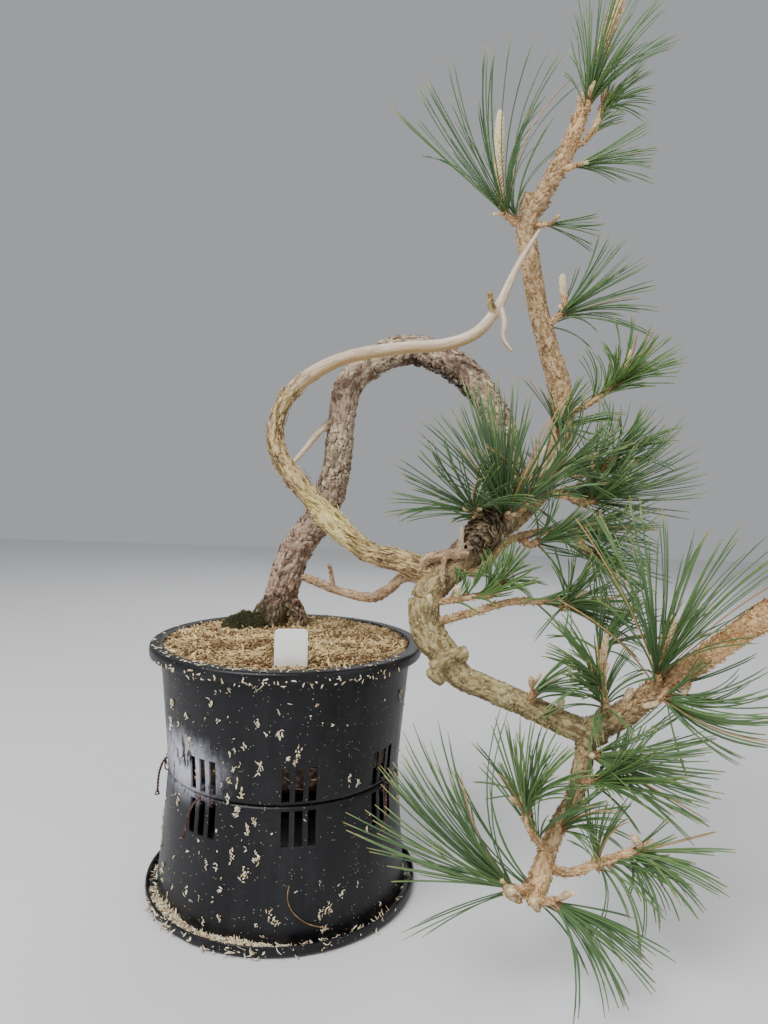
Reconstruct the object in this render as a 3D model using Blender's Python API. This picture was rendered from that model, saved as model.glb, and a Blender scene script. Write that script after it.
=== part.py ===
# Potted bonsai pine on an upturned nursery pot.
# Metres, +Z up. The front of the plant faces -Y.
# A script that makes every solid of the plant, one named object for each piece.

import math
import random

import bmesh
import bpy
from mathutils import Matrix, Vector, noise
from mathutils.bvhtree import BVHTree

MM = 0.001

# ---------------------------------------------------------------- driving sizes
RIM_RADIUS = 0.115          # outer radius over the rolled rim of either pot
POT_HEIGHT = 0.1045         # height of one pot, base to rim
WALL_THICKNESS = 0.0018
RIM_OVERHANG = 0.0095       # rolled rim beyond the wall
WALL_TAPER = 0.0072         # how much narrower the base is than the wall at the rim
BASE_CORNER = 0.003
LIP_DROP = 0.009            # how far the rolled rim hangs down outside the wall
RIM_ROUND = 0.0035          # rounding of the rim's top outer edge
SLOT_WIDTH = 0.006
SLOT_HEIGHT = 0.026
SLOT_PITCH = 0.010
SLOT_LIFT = 0.0033          # base face to the foot of the slots
SLOT_GROUPS = 8
FIRST_GROUP_ANGLE = 13.5    # degrees from the front, turning toward +X
DRAIN_RADIUS = 0.007
DRAIN_RING = 0.052          # radius of the ring the drain holes stand on
DRAIN_COUNT = 4
GAP = 0.0003                # clearance between pieces that touch
POT_SEGMENTS = 48
WALL_TOP_RADIUS = RIM_RADIUS - RIM_OVERHANG
BASE_RADIUS = WALL_TOP_RADIUS - WALL_TAPER

SOIL_TOP_DROP = 0.009       # rim plane down to the top of the potting mix
DRESSING_DROP = 0.0035      # rim plane down to the dressing at the wall
DRESSING_MOUND = 0.004      # how far the dressing rises from the wall to the middle
SOIL_SLACK = 0.0009         # potting mix and dressing to the pot's inner wall
CROWN_RADIUS = 0.022        # the swollen foot of the trunk, in the mix
CROWN_DEPTH = 0.030

WOOD_GIRTH = 1.0            # scales the thickness of every limb
NEEDLE_REACH = 1.0          # scales the length of every needle
TUFT_CORE = 0.0048          # the knot the needles of a tuft grow from

MOSS_LENGTH = 0.026         # half the moss cushion's length
MOSS_BREADTH = 0.017
MOSS_LOFT = 0.009

LABEL_WIDTH = 0.0245
LABEL_LENGTH = 0.058
LABEL_SHOWN = 0.031         # standing clear of the dressing
LABEL_THICKNESS = 0.0012
LABEL_CORNER = 0.0035
LABEL_POINT = 0.012         # length of the tapered foot pushed into the mix
LABEL_INSET = 0.0105        # pot wall to the label
LABEL_ANGLE = 8.5           # degrees from the front, turning toward +X
LABEL_TWIST = 4.0

WIRE_RADIUS = 0.0008
WIRE_SLACK = 0.0014         # wire surface to the pot walls it goes round
TAIL_LENGTH = 0.031         # how far the twisted tail hangs below the waist

# the limbs are laid out for a 115 mm rim on a 209 mm stack and stretch with them
STACK_HEIGHT = 2.0 * POT_HEIGHT
SPREAD_SCALE = RIM_RADIUS / 0.115
RISE_SCALE = STACK_HEIGHT / 0.209
WAIST = POT_HEIGHT

for old in list(bpy.data.objects):
    bpy.data.objects.remove(old, do_unlink=True)


# ---------------------------------------------------------------- small helpers
def material(name, colour, roughness, metallic=0.0):
    mat = bpy.data.materials.new(name)
    mat.use_nodes = True
    shader = mat.node_tree.nodes["Principled BSDF"]
    shader.inputs["Base Color"].default_value = (*colour, 1.0)
    shader.inputs["Roughness"].default_value = roughness
    shader.inputs["Metallic"].default_value = metallic
    mat.diffuse_color = (*colour, 1.0)
    return mat


def add_object(name, bm, mat, smooth=True):
    bmesh.ops.recalc_face_normals(bm, faces=bm.faces)
    mesh = bpy.data.meshes.new(name)
    bm.to_mesh(mesh)
    bm.free()
    obj = bpy.data.objects.new(name, mesh)
    bpy.context.collection.objects.link(obj)
    if mat is not None:
        mesh.materials.append(mat)
    for poly in mesh.polygons:
        poly.use_smooth = smooth
    return obj


def as_cutter(obj):
    obj.hide_render = True
    obj.display_type = "WIRE"
    return obj


def boolean(obj, other, operation, label):
    mod = obj.modifiers.new(label, "BOOLEAN")
    mod.operation = operation
    mod.solver = "EXACT"
    mod.object = other
    return mod


def settle(obj):
    """Turn the finished modifier stack into plain mesh and drop the helpers."""
    bpy.context.view_layer.update()
    graph = bpy.context.evaluated_depsgraph_get()
    mesh = bpy.data.meshes.new_from_object(obj.evaluated_get(graph))
    helpers = [m.object for m in obj.modifiers if m.type == "BOOLEAN" and m.object]
    obj.modifiers.clear()
    obj.data = mesh
    for helper in set(helpers):
        bpy.data.objects.remove(helper, do_unlink=True)
    return obj


def unite(body, limbs):
    """Join many overlapping limbs to a body in one Boolean union."""
    group = bpy.data.collections.new("limbs")
    for piece in limbs:
        group.objects.link(as_cutter(piece))
    mod = body.modifiers.new("limbs", "BOOLEAN")
    mod.operation = "UNION"
    mod.solver = "EXACT"
    mod.operand_type = "COLLECTION"
    mod.collection = group
    settle(body)
    for piece in limbs:
        bpy.data.objects.remove(piece, do_unlink=True)
    bpy.data.collections.remove(group)


def join_meshes(name, pieces, mat=None):
    bm = bmesh.new()
    for piece in pieces:
        piece.data.transform(piece.matrix_world)
        bm.from_mesh(piece.data)
        bpy.data.objects.remove(piece, do_unlink=True)
    return add_object(name, bm, mat)


def lathe(name, profile, segments, mat, warp=None):
    """Spin a closed (radius, height) outline; a radius of 0 closes on the axis."""
    bm = bmesh.new()
    rings = []
    for radius, height in profile:
        if radius == 0.0:
            z = height if warp is None else warp(0.0, 0.0, height)
            rings.append([bm.verts.new((0.0, 0.0, z))])
            continue
        ring = []
        for i in range(segments):
            a = 2.0 * math.pi * i / segments
            x = radius * math.cos(a)
            y = radius * math.sin(a)
            z = height if warp is None else warp(x, y, height)
            ring.append(bm.verts.new((x, y, z)))
        rings.append(ring)
    count = len(rings)
    closed_on_axis = profile[0][0] == 0.0 and profile[-1][0] == 0.0
    for i in range(count - 1 if closed_on_axis else count):
        lower = rings[i]
        upper = rings[(i + 1) % count]
        for j in range(segments):
            k = (j + 1) % segments
            if len(lower) == 1:
                bm.faces.new((lower[0], upper[j], upper[k]))
            elif len(upper) == 1:
                bm.faces.new((lower[j], lower[k], upper[0]))
            else:
                bm.faces.new((lower[j], lower[k], upper[k], upper[j]))
    return add_object(name, bm, mat)


def box(name, size, matrix):
    bm = bmesh.new()
    bmesh.ops.create_cube(bm, size=1.0)
    bmesh.ops.scale(bm, vec=size, verts=bm.verts)
    bmesh.ops.transform(bm, matrix=matrix, verts=bm.verts)
    return add_object(name, bm, None)


def rod(name, radius, depth, segments, centre):
    bm = bmesh.new()
    bmesh.ops.create_cone(bm, cap_ends=True, segments=segments, radius1=radius,
                          radius2=radius, depth=depth)
    bmesh.ops.translate(bm, vec=centre, verts=bm.verts)
    return add_object(name, bm, None)


def place(point):
    """A layout point in millimetres, measured from the pot axis, in metres."""
    x, y, z = point
    return Vector((x * MM * SPREAD_SCALE, y * MM * SPREAD_SCALE, z * MM * RISE_SCALE))


def smooth_route(stops, step):
    """Catmull-Rom through (point, radius) stops, about one ring every step."""
    out = []
    last = len(stops) - 1
    for i in range(last):
        p0, r0 = stops[max(i - 1, 0)]
        p1, r1 = stops[i]
        p2, r2 = stops[i + 1]
        p3, r3 = stops[min(i + 2, last)]
        count = max(1, round((p2 - p1).length / step))
        for k in range(count):
            t = k / count
            a = 2.0 * p1
            b = (p2 - p0) * t
            c = (2.0 * p0 - 5.0 * p1 + 4.0 * p2 - p3) * t * t
            d = (3.0 * p1 - p0 - 3.0 * p2 + p3) * t * t * t
            ease = t * t * (3.0 - 2.0 * t)
            out.append(((a + b + c + d) * 0.5, r1 + (r2 - r1) * ease))
    out.append(stops[-1])
    return out


def tube_mesh(bm, route, sides, knurl=0.0, seed=0.0, closed=False, swell=0.0):
    """Sweep a many-sided ring along (centre, radius) pairs, all of it fatter by swell."""
    count = len(route)
    rings = []
    side = None
    for i in range(count):
        centre, radius = route[i]
        if closed:
            ahead = route[(i + 1) % count][0] - route[i - 1][0]
        else:
            ahead = route[min(i + 1, count - 1)][0] - route[max(i - 1, 0)][0]
        ahead.normalize()
        if side is None:
            side = ahead.orthogonal().normalized()
        side = (side - ahead * side.dot(ahead)).normalized()
        other = ahead.cross(side)
        ring = []
        for j in range(sides):
            a = 2.0 * math.pi * j / sides
            out = side * math.cos(a) + other * math.sin(a)
            grain = noise.noise((centre + out * radius) * 60.0 + Vector((seed, 0.0, 0.0)))
            reach = radius * (1.0 + knurl * grain) + swell
            ring.append(bm.verts.new(centre + out * reach))
        rings.append(ring)
    pairs = count if closed else count - 1
    for i in range(pairs):
        lower = rings[i]
        upper = rings[(i + 1) % count]
        for j in range(sides):
            k = (j + 1) % sides
            bm.faces.new((lower[j], lower[k], upper[k], upper[j]))
    if not closed:
        bm.faces.new(list(reversed(rings[0])))
        bm.faces.new(rings[-1])


# ---------------------------------------------------------------- materials
black_pot = material("black_pot_plastic", (0.018, 0.019, 0.021), 0.45)
mix_brown = material("potting_mix", (0.075, 0.05, 0.035), 0.95)
straw = material("straw_dressing", (0.42, 0.34, 0.22), 0.95)
moss_green = material("moss_green", (0.07, 0.11, 0.035), 0.95)
label_white = material("label_plastic", (0.78, 0.78, 0.76), 0.4)
tie_copper = material("tie_wire_copper", (0.36, 0.13, 0.07), 0.45, 1.0)
bark = material("pine_bark", (0.26, 0.19, 0.15), 0.9)
deadwood = material("bleached_deadwood", (0.72, 0.66, 0.55), 0.85)
needle_green = material("pine_needles", (0.045, 0.12, 0.045), 0.5)
candle_cream = material("candle_buds", (0.66, 0.60, 0.45), 0.7)


# ---------------------------------------------------------------- the two pots
def pot_profile():
    """Base at height 0, rim at POT_HEIGHT; the outline of wall, floor and rim."""
    r = RIM_RADIUS
    h = POT_HEIGHT
    t = WALL_THICKNESS
    c = BASE_CORNER
    return [
        (0.0, 0.0),
        (BASE_RADIUS * 0.5, 0.0),
        (BASE_RADIUS - c, 0.0),
        (BASE_RADIUS - 0.3 * c, 0.3 * c),
        (BASE_RADIUS, c),
        (WALL_TOP_RADIUS - 0.0006, h - 0.012),
        (WALL_TOP_RADIUS, h - t - 0.001),
        (r - t - 0.0015, h - t - 0.0006),
        (r - t, h - 0.004),
        (r - t, h - LIP_DROP),
        (r, h - LIP_DROP),
        (r, h - RIM_ROUND),
        (r - 0.3 * RIM_ROUND, h - 0.3 * RIM_ROUND),
        (r - RIM_ROUND, h),
        (WALL_TOP_RADIUS + 0.0005, h),
        (WALL_TOP_RADIUS - t, h - 0.0015),
        (BASE_RADIUS - t + 0.0002, c + 0.002),
        (BASE_RADIUS - t - 0.002, t),
        (BASE_RADIUS * 0.5, t),
        (0.0, t),
    ]


def make_pot(name, upturned):
    pot = lathe(name, pot_profile(), POT_SEGMENTS, black_pot)
    cutters = []
    for g in range(SLOT_GROUPS):
        middle = FIRST_GROUP_ANGLE + g * 360.0 / SLOT_GROUPS
        step = math.degrees(SLOT_PITCH / BASE_RADIUS)
        for s in (-1, 0, 1):
            turn = math.radians(-90.0 + middle + s * step)
            at = Matrix.Translation((0.0, 0.0, SLOT_LIFT + SLOT_HEIGHT / 2.0))
            spin = Matrix.Rotation(turn, 4, "Z") @ Matrix.Translation((BASE_RADIUS, 0.0, 0.0))
            cutters.append(box("slot", (0.016, SLOT_WIDTH, SLOT_HEIGHT), at @ spin))
    for i in range(DRAIN_COUNT):
        a = math.radians(45.0) + 2.0 * math.pi * i / DRAIN_COUNT
        where = (DRAIN_RING * math.cos(a), DRAIN_RING * math.sin(a), 0.0)
        cutters.append(rod("drain", DRAIN_RADIUS, 0.02, 12, where))
    cutter = as_cutter(join_meshes(name + "_cuts", cutters))
    boolean(pot, cutter, "DIFFERENCE", "slots_and_drains")
    settle(pot)
    if upturned:
        flip = Matrix.Translation((0.0, 0.0, WAIST - GAP / 2.0)) @ Matrix.Diagonal((1.0, 1.0, -1.0, 1.0))
        pot.data.transform(flip)
        pot.data.flip_normals()
    else:
        pot.data.transform(Matrix.Translation((0.0, 0.0, WAIST + GAP / 2.0)))
    return pot


upper_pot = make_pot("upper_pot", False)
lower_pot = make_pot("lower_pot", True)
RIM_PLANE = 2.0 * POT_HEIGHT + GAP / 2.0


# ---------------------------------------------------------------- wood layout
# every limb: sides of its ring, ring spacing in mm, then stops of (x, y, z, radius) in mm
TRUNK = [
    (-17, 48, 178, 22), (-17, 48, 196, 22), (-17, 48, 211, 21.5), (-16, 48, 226, 16),
    (-10, 46, 255, 14.4), (0, 44, 283, 13.4), (17, 42, 308, 13.3), (30, 40, 336, 13.3),
    (36, 40, 370, 12.3), (38, 41, 403, 11.8), (44, 42, 434, 12.7), (65, 44, 456, 13.2),
    (94, 44, 467, 13.2), (126, 38, 460, 13.6), (152, 30, 442, 13.4), (173, 20, 413, 13.2),
    (183, 8, 381, 12.1), (185, -4, 352, 11.5), (177, -15, 325, 12.8), (163, -24, 305, 14.1),
    (144, -30, 285, 13.1), (124, -34, 266, 11.8), (114, -38, 248, 12.2), (118, -42, 227, 12.9),
    (132, -48, 209, 12.0), (145, -52, 194, 10.5), (167, -58, 186, 9.5), (194, -66, 177, 9.4),
    (219, -74, 168, 9.2), (241, -80, 161, 10.0), (250, -83, 164, 8.6),
]
RIGHT_BRANCH = [
    (238, -79, 162, 9.6), (262, -86, 177, 9.4), (281, -94, 197, 8.1), (302, -108, 221, 7.5),
    (320, -128, 246, 7.6), (334, -148, 268, 7.6), (344, -166, 286, 6.3),
]
LOWER_BRANCH = [
    (239, -79, 163, 8.4), (234, -88, 140, 6.9), (227, -96, 120, 6.3), (214, -106, 104, 5.8),
    (204, -116, 88, 6.4), (197, -126, 74, 7.7), (188, -134, 60, 7.6),
]
THIN_BRANCH = [
    (128, -31, 270, 9.6), (96, -24, 281, 9.4), (67, -18, 288, 8.6), (38, -6, 310, 9.6),
    (8, 6, 340, 8.4), (-13, 12, 366, 7.6), (-17, 15, 394, 6.7), (-7, 14, 419, 6.6),
    (14, 12, 439, 6.4), (46, 10, 454, 5.6), (89, 8, 462, 5.3), (127, 6, 466, 5.2),
    (154, 6, 477, 5.0), (172, 8, 500, 4.4), (187, 10, 534, 3.0), (206, 12, 568, 1.5),
]
LEADER = [
    (170, -18, 306, 8.5), (194, 8, 319, 8.7), (218, 25, 344, 9.8), (234, 34, 376, 9.9),
    (239, 38, 408, 10.4), (234, 38, 439, 9.8), (223, 37, 472, 9.0), (211, 36, 509, 9.0),
    (203, 34, 547, 8.5), (198, 32, 578, 8.4), (209, 30, 600, 8), (222, 29, 626, 7),
    (231, 28, 643, 6.6), (240, 27, 670, 5.7), (252, 25, 710, 5.2), (262, 24, 745, 4.8),
    (272, 22, 778, 4.3), (279, 21, 805, 3.4),
]
SMALL_LIMBS = {
    "old_leader_stub": (8, 12, [(200, 33, 572, 7), (198, 32, 592, 7.2), (200, 31, 606, 5.3)]),
    "thin_branch_stub": (6, 10, [(171, 8, 492, 3.4), (165, 2, 500, 3.1), (163, -4, 509, 2.5)]),
    "hanging_dead_twig": (6, 12, [(173, 8, 502, 3.1), (177, 3, 486, 2.6), (176, 0, 472, 2),
                                  (184, -3, 460, 1.2)]),
    "cross_spur": (6, 12, [(34, 40, 404, 4.5), (18, 28, 388, 2.9), (8, 18, 373, 2.5),
                           (-1, 12, 361, 2.1)]),
    "low_twig": (6, 12, [(116, -31, 268, 4.9), (98, -22, 268, 4.2), (86, -14, 257, 4.4),
                         (71, -4, 247, 4.3), (47, 8, 249, 3.7), (24, 18, 255, 3.6),
                         (9, 24, 259, 3.4)]),
    "low_twig_stub": (6, 10, [(37, 12, 251, 2.3), (35, 10, 264, 1.9), (33, 8, 272, 1.6)]),
    "scaly_twig": (6, 12, [(112, -32, 274, 4.6), (115, -36, 285, 4.4), (132, -42, 290, 4.2),
                           (149, -46, 292, 4)]),
    "scaly_drop": (6, 10, [(130, -43, 290, 2.4), (128, -47, 278, 2.1), (128, -49, 266, 1.7)]),
    "pale_spur": (6, 10, [(142, -44, 291, 2.4), (142, -46, 302, 2), (142, -47, 314, 1.5)]),
    "flaky_knob": (8, 9, [(171, -24, 328, 8), (159, -36, 312, 8.4), (152, -41, 299, 6)]),
    "callus": (8, 9, [(148, -55, 214, 6), (132, -60, 210, 6), (122, -61, 201, 6.2),
                      (130, -60, 191, 5)]),
    "left_root": (6, 10, [(-17, 46, 222, 8), (-28, 40, 214, 6), (-33, 38, 204, 4)]),
    "right_root": (6, 10, [(-14, 44, 226, 8), (-6, 36, 213, 6.2), (-4, 34, 203, 4)]),
}
# every needle tuft: shoot stops (x, y, z) in mm, shoot radius, aim, reach in mm,
# spread in degrees, number of spikes
TUFTS = [
    ([(196, 33, 578), (184, 29, 581), (178, 26, 585)], 3.0, (-0.24, -0.15, 0.97), 134, 46, 20),
    ([(240, 27, 670), (244, 18, 674), (243, 12, 678)], 2.4, (0.39, -0.2, 0.92), 88, 48, 16),
    ([(230, 28, 641), (245, 24, 650), (253, 20, 661), (256, 18, 676)], 2.4,
     (0.8, -0.3, 0.5), 44, 60, 14),
    ([(221, 29, 624), (229, 22, 624), (236, 17, 625)], 2.4, (0.95, -0.25, 0.1), 60, 42, 12),
    ([(202, 33, 577), (209, 24, 576), (214, 19, 575)], 2.2, (0.9, -0.3, -0.2), 40, 50, 8),
    ([(216, 37, 487), (224, 32, 494), (231, 28, 500)], 2.6, (0.79, -0.2, 0.58), 77, 56, 18),
    ([(239, 38, 412), (256, 32, 420), (271, 27, 431), (284, 23, 441)], 2.8,
     (0.6, -0.1, 0.76), 56, 60, 18),
    ([(178, -18, 318), (179, -29, 320), (178, -37, 322)], 2.6, (-0.1, -0.3, 0.95), 118, 40, 18),
    ([(167, -26, 311), (159, -39, 320), (151, -45, 326)], 2.6, (-0.8, -0.3, 0.5), 70, 58, 16),
    ([(222, 27, 344), (232, 17, 340), (241, 10, 338)], 2.6, (0.9, -0.25, 0.36), 112, 36, 18),
    ([(231, 32, 364), (245, 20, 358), (255, 10, 358)], 2.4, (0.55, -0.3, 0.8), 78, 40, 12),
    ([(138, -34, 277), (159, -40, 277), (172, -38, 294), (186, -27, 303), (207, -16, 308),
      (230, -8, 311), (241, -4, 311)], 2.8, (0.97, -0.25, 0), 72, 42, 12),
    ([(122, -42, 234), (153, -52, 246), (182, -52, 255), (207, -48, 255), (224, -44, 254)],
     2.6, (0.96, -0.25, 0.1), 66, 46, 14),
    ([(120, -40, 250), (146, -52, 257), (161, -55, 260)], 2.2, (0.6, -0.35, 0.7), 40, 60, 10),
    ([(197, -67, 178), (196, -78, 186), (195, -83, 193)], 2.2, (0.85, -0.35, 0.35), 40, 56, 8),
    ([(283, -95, 200), (280, -104, 208), (279, -108, 216)], 3.0, (0.14, -0.1, 0.98), 128, 40, 22),
    ([(257, -85, 175), (248, -92, 187), (244, -96, 205)], 2.4, (-0.68, -0.2, 0.7), 56, 48, 12),
    ([(290, -100, 208), (285, -109, 203), (280, -114, 199)], 2.2, (0.95, -0.3, 0.1), 78, 36, 12),
    ([(234, -88, 147), (236, -95, 151), (237, -102, 152)], 2.2, (0.95, -0.25, -0.05), 86, 34, 12),
    ([(203, -117, 88), (190, -121, 104), (185, -121, 118)], 2.6, (0.03, -0.1, 0.99), 60, 56, 16),
    ([(200, -122, 80), (217, -127, 78), (237, -129, 87), (261, -129, 96)], 2.8,
     (0.9, -0.15, -0.35), 56, 56, 16),
    ([(195, -129, 70), (184, -138, 72), (173, -144, 75)], 2.6, (-0.68, -0.1, 0.72), 122, 30, 18),
    ([(189, -134, 62), (197, -143, 66), (202, -148, 70)], 2.6, (0.72, -0.12, -0.62), 76, 36, 14),
    ([(229, -94, 131), (234, -103, 133), (240, -107, 136)], 2.4, (0.85, -0.2, 0.48), 72, 46, 16),
    ([(343, -165, 284), (348, -170, 292)], 3.4, (0.5, -0.3, 0.8), 62, 60, 18),
    ([(278, 21, 803), (281, 20, 812)], 2.6, (0.3, -0.1, 0.95), 70, 55, 18),
]
# candles (the pale buds): tuft number, aim, length and width in mm
CANDLES = [
    (1, (-0.05, -0.02, 1.0), 78, 6.4), (6, (-0.15, -0.05, 1.0), 24, 5.0),
    (7, (0.1, -0.1, 1.0), 20, 5.2), (8, (0.45, -0.1, 0.9), 58, 5.0),
    (11, (0.1, -0.2, 1.0), 14, 4.6), (13, (0.8, -0.4, 0.6), 14, 4.8),
    (16, (0.2, -0.1, 0.97), 32, 8.0), (17, (0.0, -0.2, 1.0), 28, 4.6),
    (21, (-0.5, -0.5, 0.7), 13, 5.4), (22, (0.1, -0.8, 0.4), 12, 5.6),
]


def stops_from(points):
    return [(place(p[:3]), p[3] * MM * WOOD_GIRTH) for p in points]


def limb(name, points, sides, step, knurl, seed, swell=0.0):
    bm = bmesh.new()
    route = smooth_route(stops_from(points), step * MM)
    tube_mesh(bm, route, sides, knurl, seed, swell=swell)
    return add_object(name, bm, bark)


# ---------------------------------------------------------------- trunk and branches
crown = place(TRUNK[0][:3])
crown_r = CROWN_RADIUS * WOOD_GIRTH
trunk_points = list(TRUNK)
foot_z = (RIM_PLANE - CROWN_DEPTH) / (MM * RISE_SCALE)
neck_z = (RIM_PLANE + 0.003) / (MM * RISE_SCALE)
crown_mm = CROWN_RADIUS / MM
for i, (z, girth) in enumerate(((foot_z, 1.0), ((foot_z + neck_z) / 2.0, 1.0), (neck_z, 0.97))):
    trunk_points[i] = (*TRUNK[0][:2], z, crown_mm * girth)
TRUNK_FORM = (9, 14, 0.12, 0.0)      # ring sides, ring spacing, knurl, grain seed
wood = limb("trunk_and_branches", trunk_points, *TRUNK_FORM)
helpers = [
    limb("right_branch", RIGHT_BRANCH, 7, 14, 0.10, 5.0),
    limb("lower_branch", LOWER_BRANCH, 7, 14, 0.10, 9.0),
    limb("thin_branch", THIN_BRANCH, 7, 14, 0.10, 13.0),
    limb("leader", LEADER, 8, 15, 0.10, 17.0),
]
for number, (label, (sides, step, points)) in enumerate(SMALL_LIMBS.items(), 1):
    helpers.append(limb(label, points, sides, step, 0.08, number * 3.7))
for number, (route, radius, aim, reach, spread, spikes) in enumerate(TUFTS, 1):
    shoot = [(*p, radius * (1.25 - 0.35 * i / (len(route) - 1))) for i, p in enumerate(route)]
    helpers.append(limb("shoot_%02d" % number, shoot, 5, 14, 0.05, number * 2.3))
unite(wood, helpers)


def drop_slivers(obj, fewest):
    """Remove stray paper-thin shells left where two limbs only just graze."""
    bm = bmesh.new()
    bm.from_mesh(obj.data)
    bmesh.ops.triangulate(bm, faces=bm.faces)
    unseen = set(bm.faces)
    while unseen:
        shell = [unseen.pop()]
        for face in shell:
            for edge in face.edges:
                if len(edge.link_faces) != 2:
                    continue
                for other in edge.link_faces:
                    if other in unseen:
                        unseen.remove(other)
                        shell.append(other)
        if len(shell) < fewest:
            bmesh.ops.delete(bm, geom=shell, context="FACES")
    bm.to_mesh(obj.data)
    bm.free()


FEWEST_FACES = 24            # a real body has more; a sliver shell has fewer
drop_slivers(wood, FEWEST_FACES)
wood.data.materials.clear()
wood.data.materials.append(bark)
wood.data.materials.append(deadwood)
for poly in wood.data.polygons:
    poly.use_smooth = True
    x = poly.center.x / (MM * SPREAD_SCALE)
    y = poly.center.y / (MM * SPREAD_SCALE)
    z = poly.center.z / (MM * RISE_SCALE)
    thin_branch_end = y < 24.0 and x < 215.0 and z > 420.0
    spur_end = x < 26.0 and 355.0 < z < 402.0 and y > 21.0
    poly.material_index = 1 if thin_branch_end or spur_end else 0


# ---------------------------------------------------------------- potting mix and dressing
def dressing_height(x, y, base):
    """The mounded, lumpy top of the dressing."""
    fade = 1.0 - min(1.0, math.hypot(x, y) / WALL_TOP_RADIUS) ** 2
    lumps = 0.0011 * noise.noise(Vector((x * 70.0, y * 70.0, 1.7)))
    return base + DRESSING_MOUND * fade + lumps * (0.3 + fade)


def inner_wall(height):
    """Inner radius of the upper pot at a height above its base face."""
    low_z = BASE_CORNER + 0.002
    low_r = BASE_RADIUS - WALL_THICKNESS + 0.0002
    high_z = POT_HEIGHT - 0.0015
    high_r = WALL_TOP_RADIUS - WALL_THICKNESS
    return low_r + (high_r - low_r) * (height - low_z) / (high_z - low_z)


base_face = WAIST + GAP / 2.0
soil_low = WALL_THICKNESS + GAP
soil_high = POT_HEIGHT - SOIL_TOP_DROP
soil = lathe("soil_mix", [
    (0.0, base_face + soil_low),
    (inner_wall(soil_low) - 0.009, base_face + soil_low),
    (inner_wall(soil_low) - 0.0085, base_face + soil_low + 0.003),
    (inner_wall(0.012) - SOIL_SLACK - 0.004, base_face + 0.010),
    (inner_wall(0.016) - SOIL_SLACK, base_face + 0.016),
    (inner_wall(soil_high) - SOIL_SLACK, base_face + soil_high),
    (inner_wall(soil_high) * 0.6, base_face + soil_high),
    (0.0, base_face + soil_high),
], POT_SEGMENTS, mix_brown)

top_z = base_face + POT_HEIGHT - DRESSING_DROP
under_z = base_face + soil_high + GAP
dress_r = inner_wall(POT_HEIGHT - 0.006) - SOIL_SLACK


def mound(x, y, height):
    return dressing_height(x, y, top_z) if height == top_z else height


dressing = lathe("top_dressing", [
    (0.0, under_z),
    (dress_r * 0.5, under_z),
    (inner_wall(soil_high) - SOIL_SLACK, under_z),
    (dress_r, top_z - 0.002),
    (dress_r * 0.96, top_z),
    (dress_r * 0.80, top_z),
    (dress_r * 0.62, top_z),
    (dress_r * 0.44, top_z),
    (dress_r * 0.24, top_z),
    (0.0, top_z),
], POT_SEGMENTS, straw, mound)

# moss cushion beside the foot of the trunk, its underside following the dressing
moss_x = crown.x - crown_r * 0.95
moss_y = crown.y - crown_r * 0.80
MOSS_SIDES = 16
bm = bmesh.new()
rings_up = []
rings_down = []
for fraction in (0.0, 0.4, 0.75, 1.0):
    count = 1 if fraction == 0.0 else MOSS_SIDES
    up = []
    down = []
    for i in range(count):
        a = 2.0 * math.pi * i / count
        x = moss_x + MOSS_LENGTH * fraction * math.cos(a)
        y = moss_y + MOSS_BREADTH * fraction * math.sin(a)
        floor_z = top_z + DRESSING_MOUND + 0.0022
        lump = 0.002 * noise.noise(Vector((x * 90.0, y * 90.0, 5.0)))
        loft = MOSS_LOFT * (1.0 - fraction ** 2) + 0.0015 + lump * (1.0 - fraction)
        up.append(bm.verts.new((x, y, floor_z + loft)))
        down.append(bm.verts.new((x, y, floor_z)))
    rings_up.append(up)
    rings_down.append(down)
for layer in (rings_up, rings_down):
    for i in range(MOSS_SIDES):
        k = (i + 1) % MOSS_SIDES
        bm.faces.new((layer[0][0], layer[1][i], layer[1][k]))
        for n in (1, 2):
            bm.faces.new((layer[n][i], layer[n + 1][i], layer[n + 1][k], layer[n][k]))
for i in range(MOSS_SIDES):
    k = (i + 1) % MOSS_SIDES
    bm.faces.new((rings_up[3][i], rings_down[3][i], rings_down[3][k], rings_up[3][k]))
moss = add_object("moss_patch", bm, moss_green)

# the label stands just inside the front of the rim
label_turn = math.radians(LABEL_ANGLE)
label_in = WALL_TOP_RADIUS - LABEL_INSET
label_x = label_in * math.sin(label_turn)
label_y = -label_in * math.cos(label_turn)
label_top = top_z + LABEL_SHOWN
label_low = label_top - LABEL_LENGTH
bm = bmesh.new()
outline = []
half = LABEL_WIDTH / 2.0
for side, first in ((1, 0), (-1, 90)):
    corner_x = side * (half - LABEL_CORNER)
    for i in range(4):
        a = math.radians(first + 30.0 * i)
        outline.append((corner_x + LABEL_CORNER * math.cos(a),
                        label_top - LABEL_CORNER + LABEL_CORNER * math.sin(a)))
outline.append((-half, label_low + LABEL_POINT))
outline.append((-half * 0.25, label_low))
outline.append((half * 0.25, label_low))
outline.append((half, label_low + LABEL_POINT))
front = [bm.verts.new((x, -LABEL_THICKNESS / 2.0, z)) for x, z in outline]
back = [bm.verts.new((x, LABEL_THICKNESS / 2.0, z)) for x, z in outline]
bm.faces.new(front)
bm.faces.new(list(reversed(back)))
for i in range(len(outline)):
    k = (i + 1) % len(outline)
    bm.faces.new((front[i], front[k], back[k], back[i]))
label = add_object("plant_label", bm, label_white, smooth=False)
label_at = Matrix.Translation((label_x, label_y, 0.0)) @ Matrix.Rotation(math.radians(LABEL_TWIST), 4, "Z")
label.data.transform(label_at)

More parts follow.
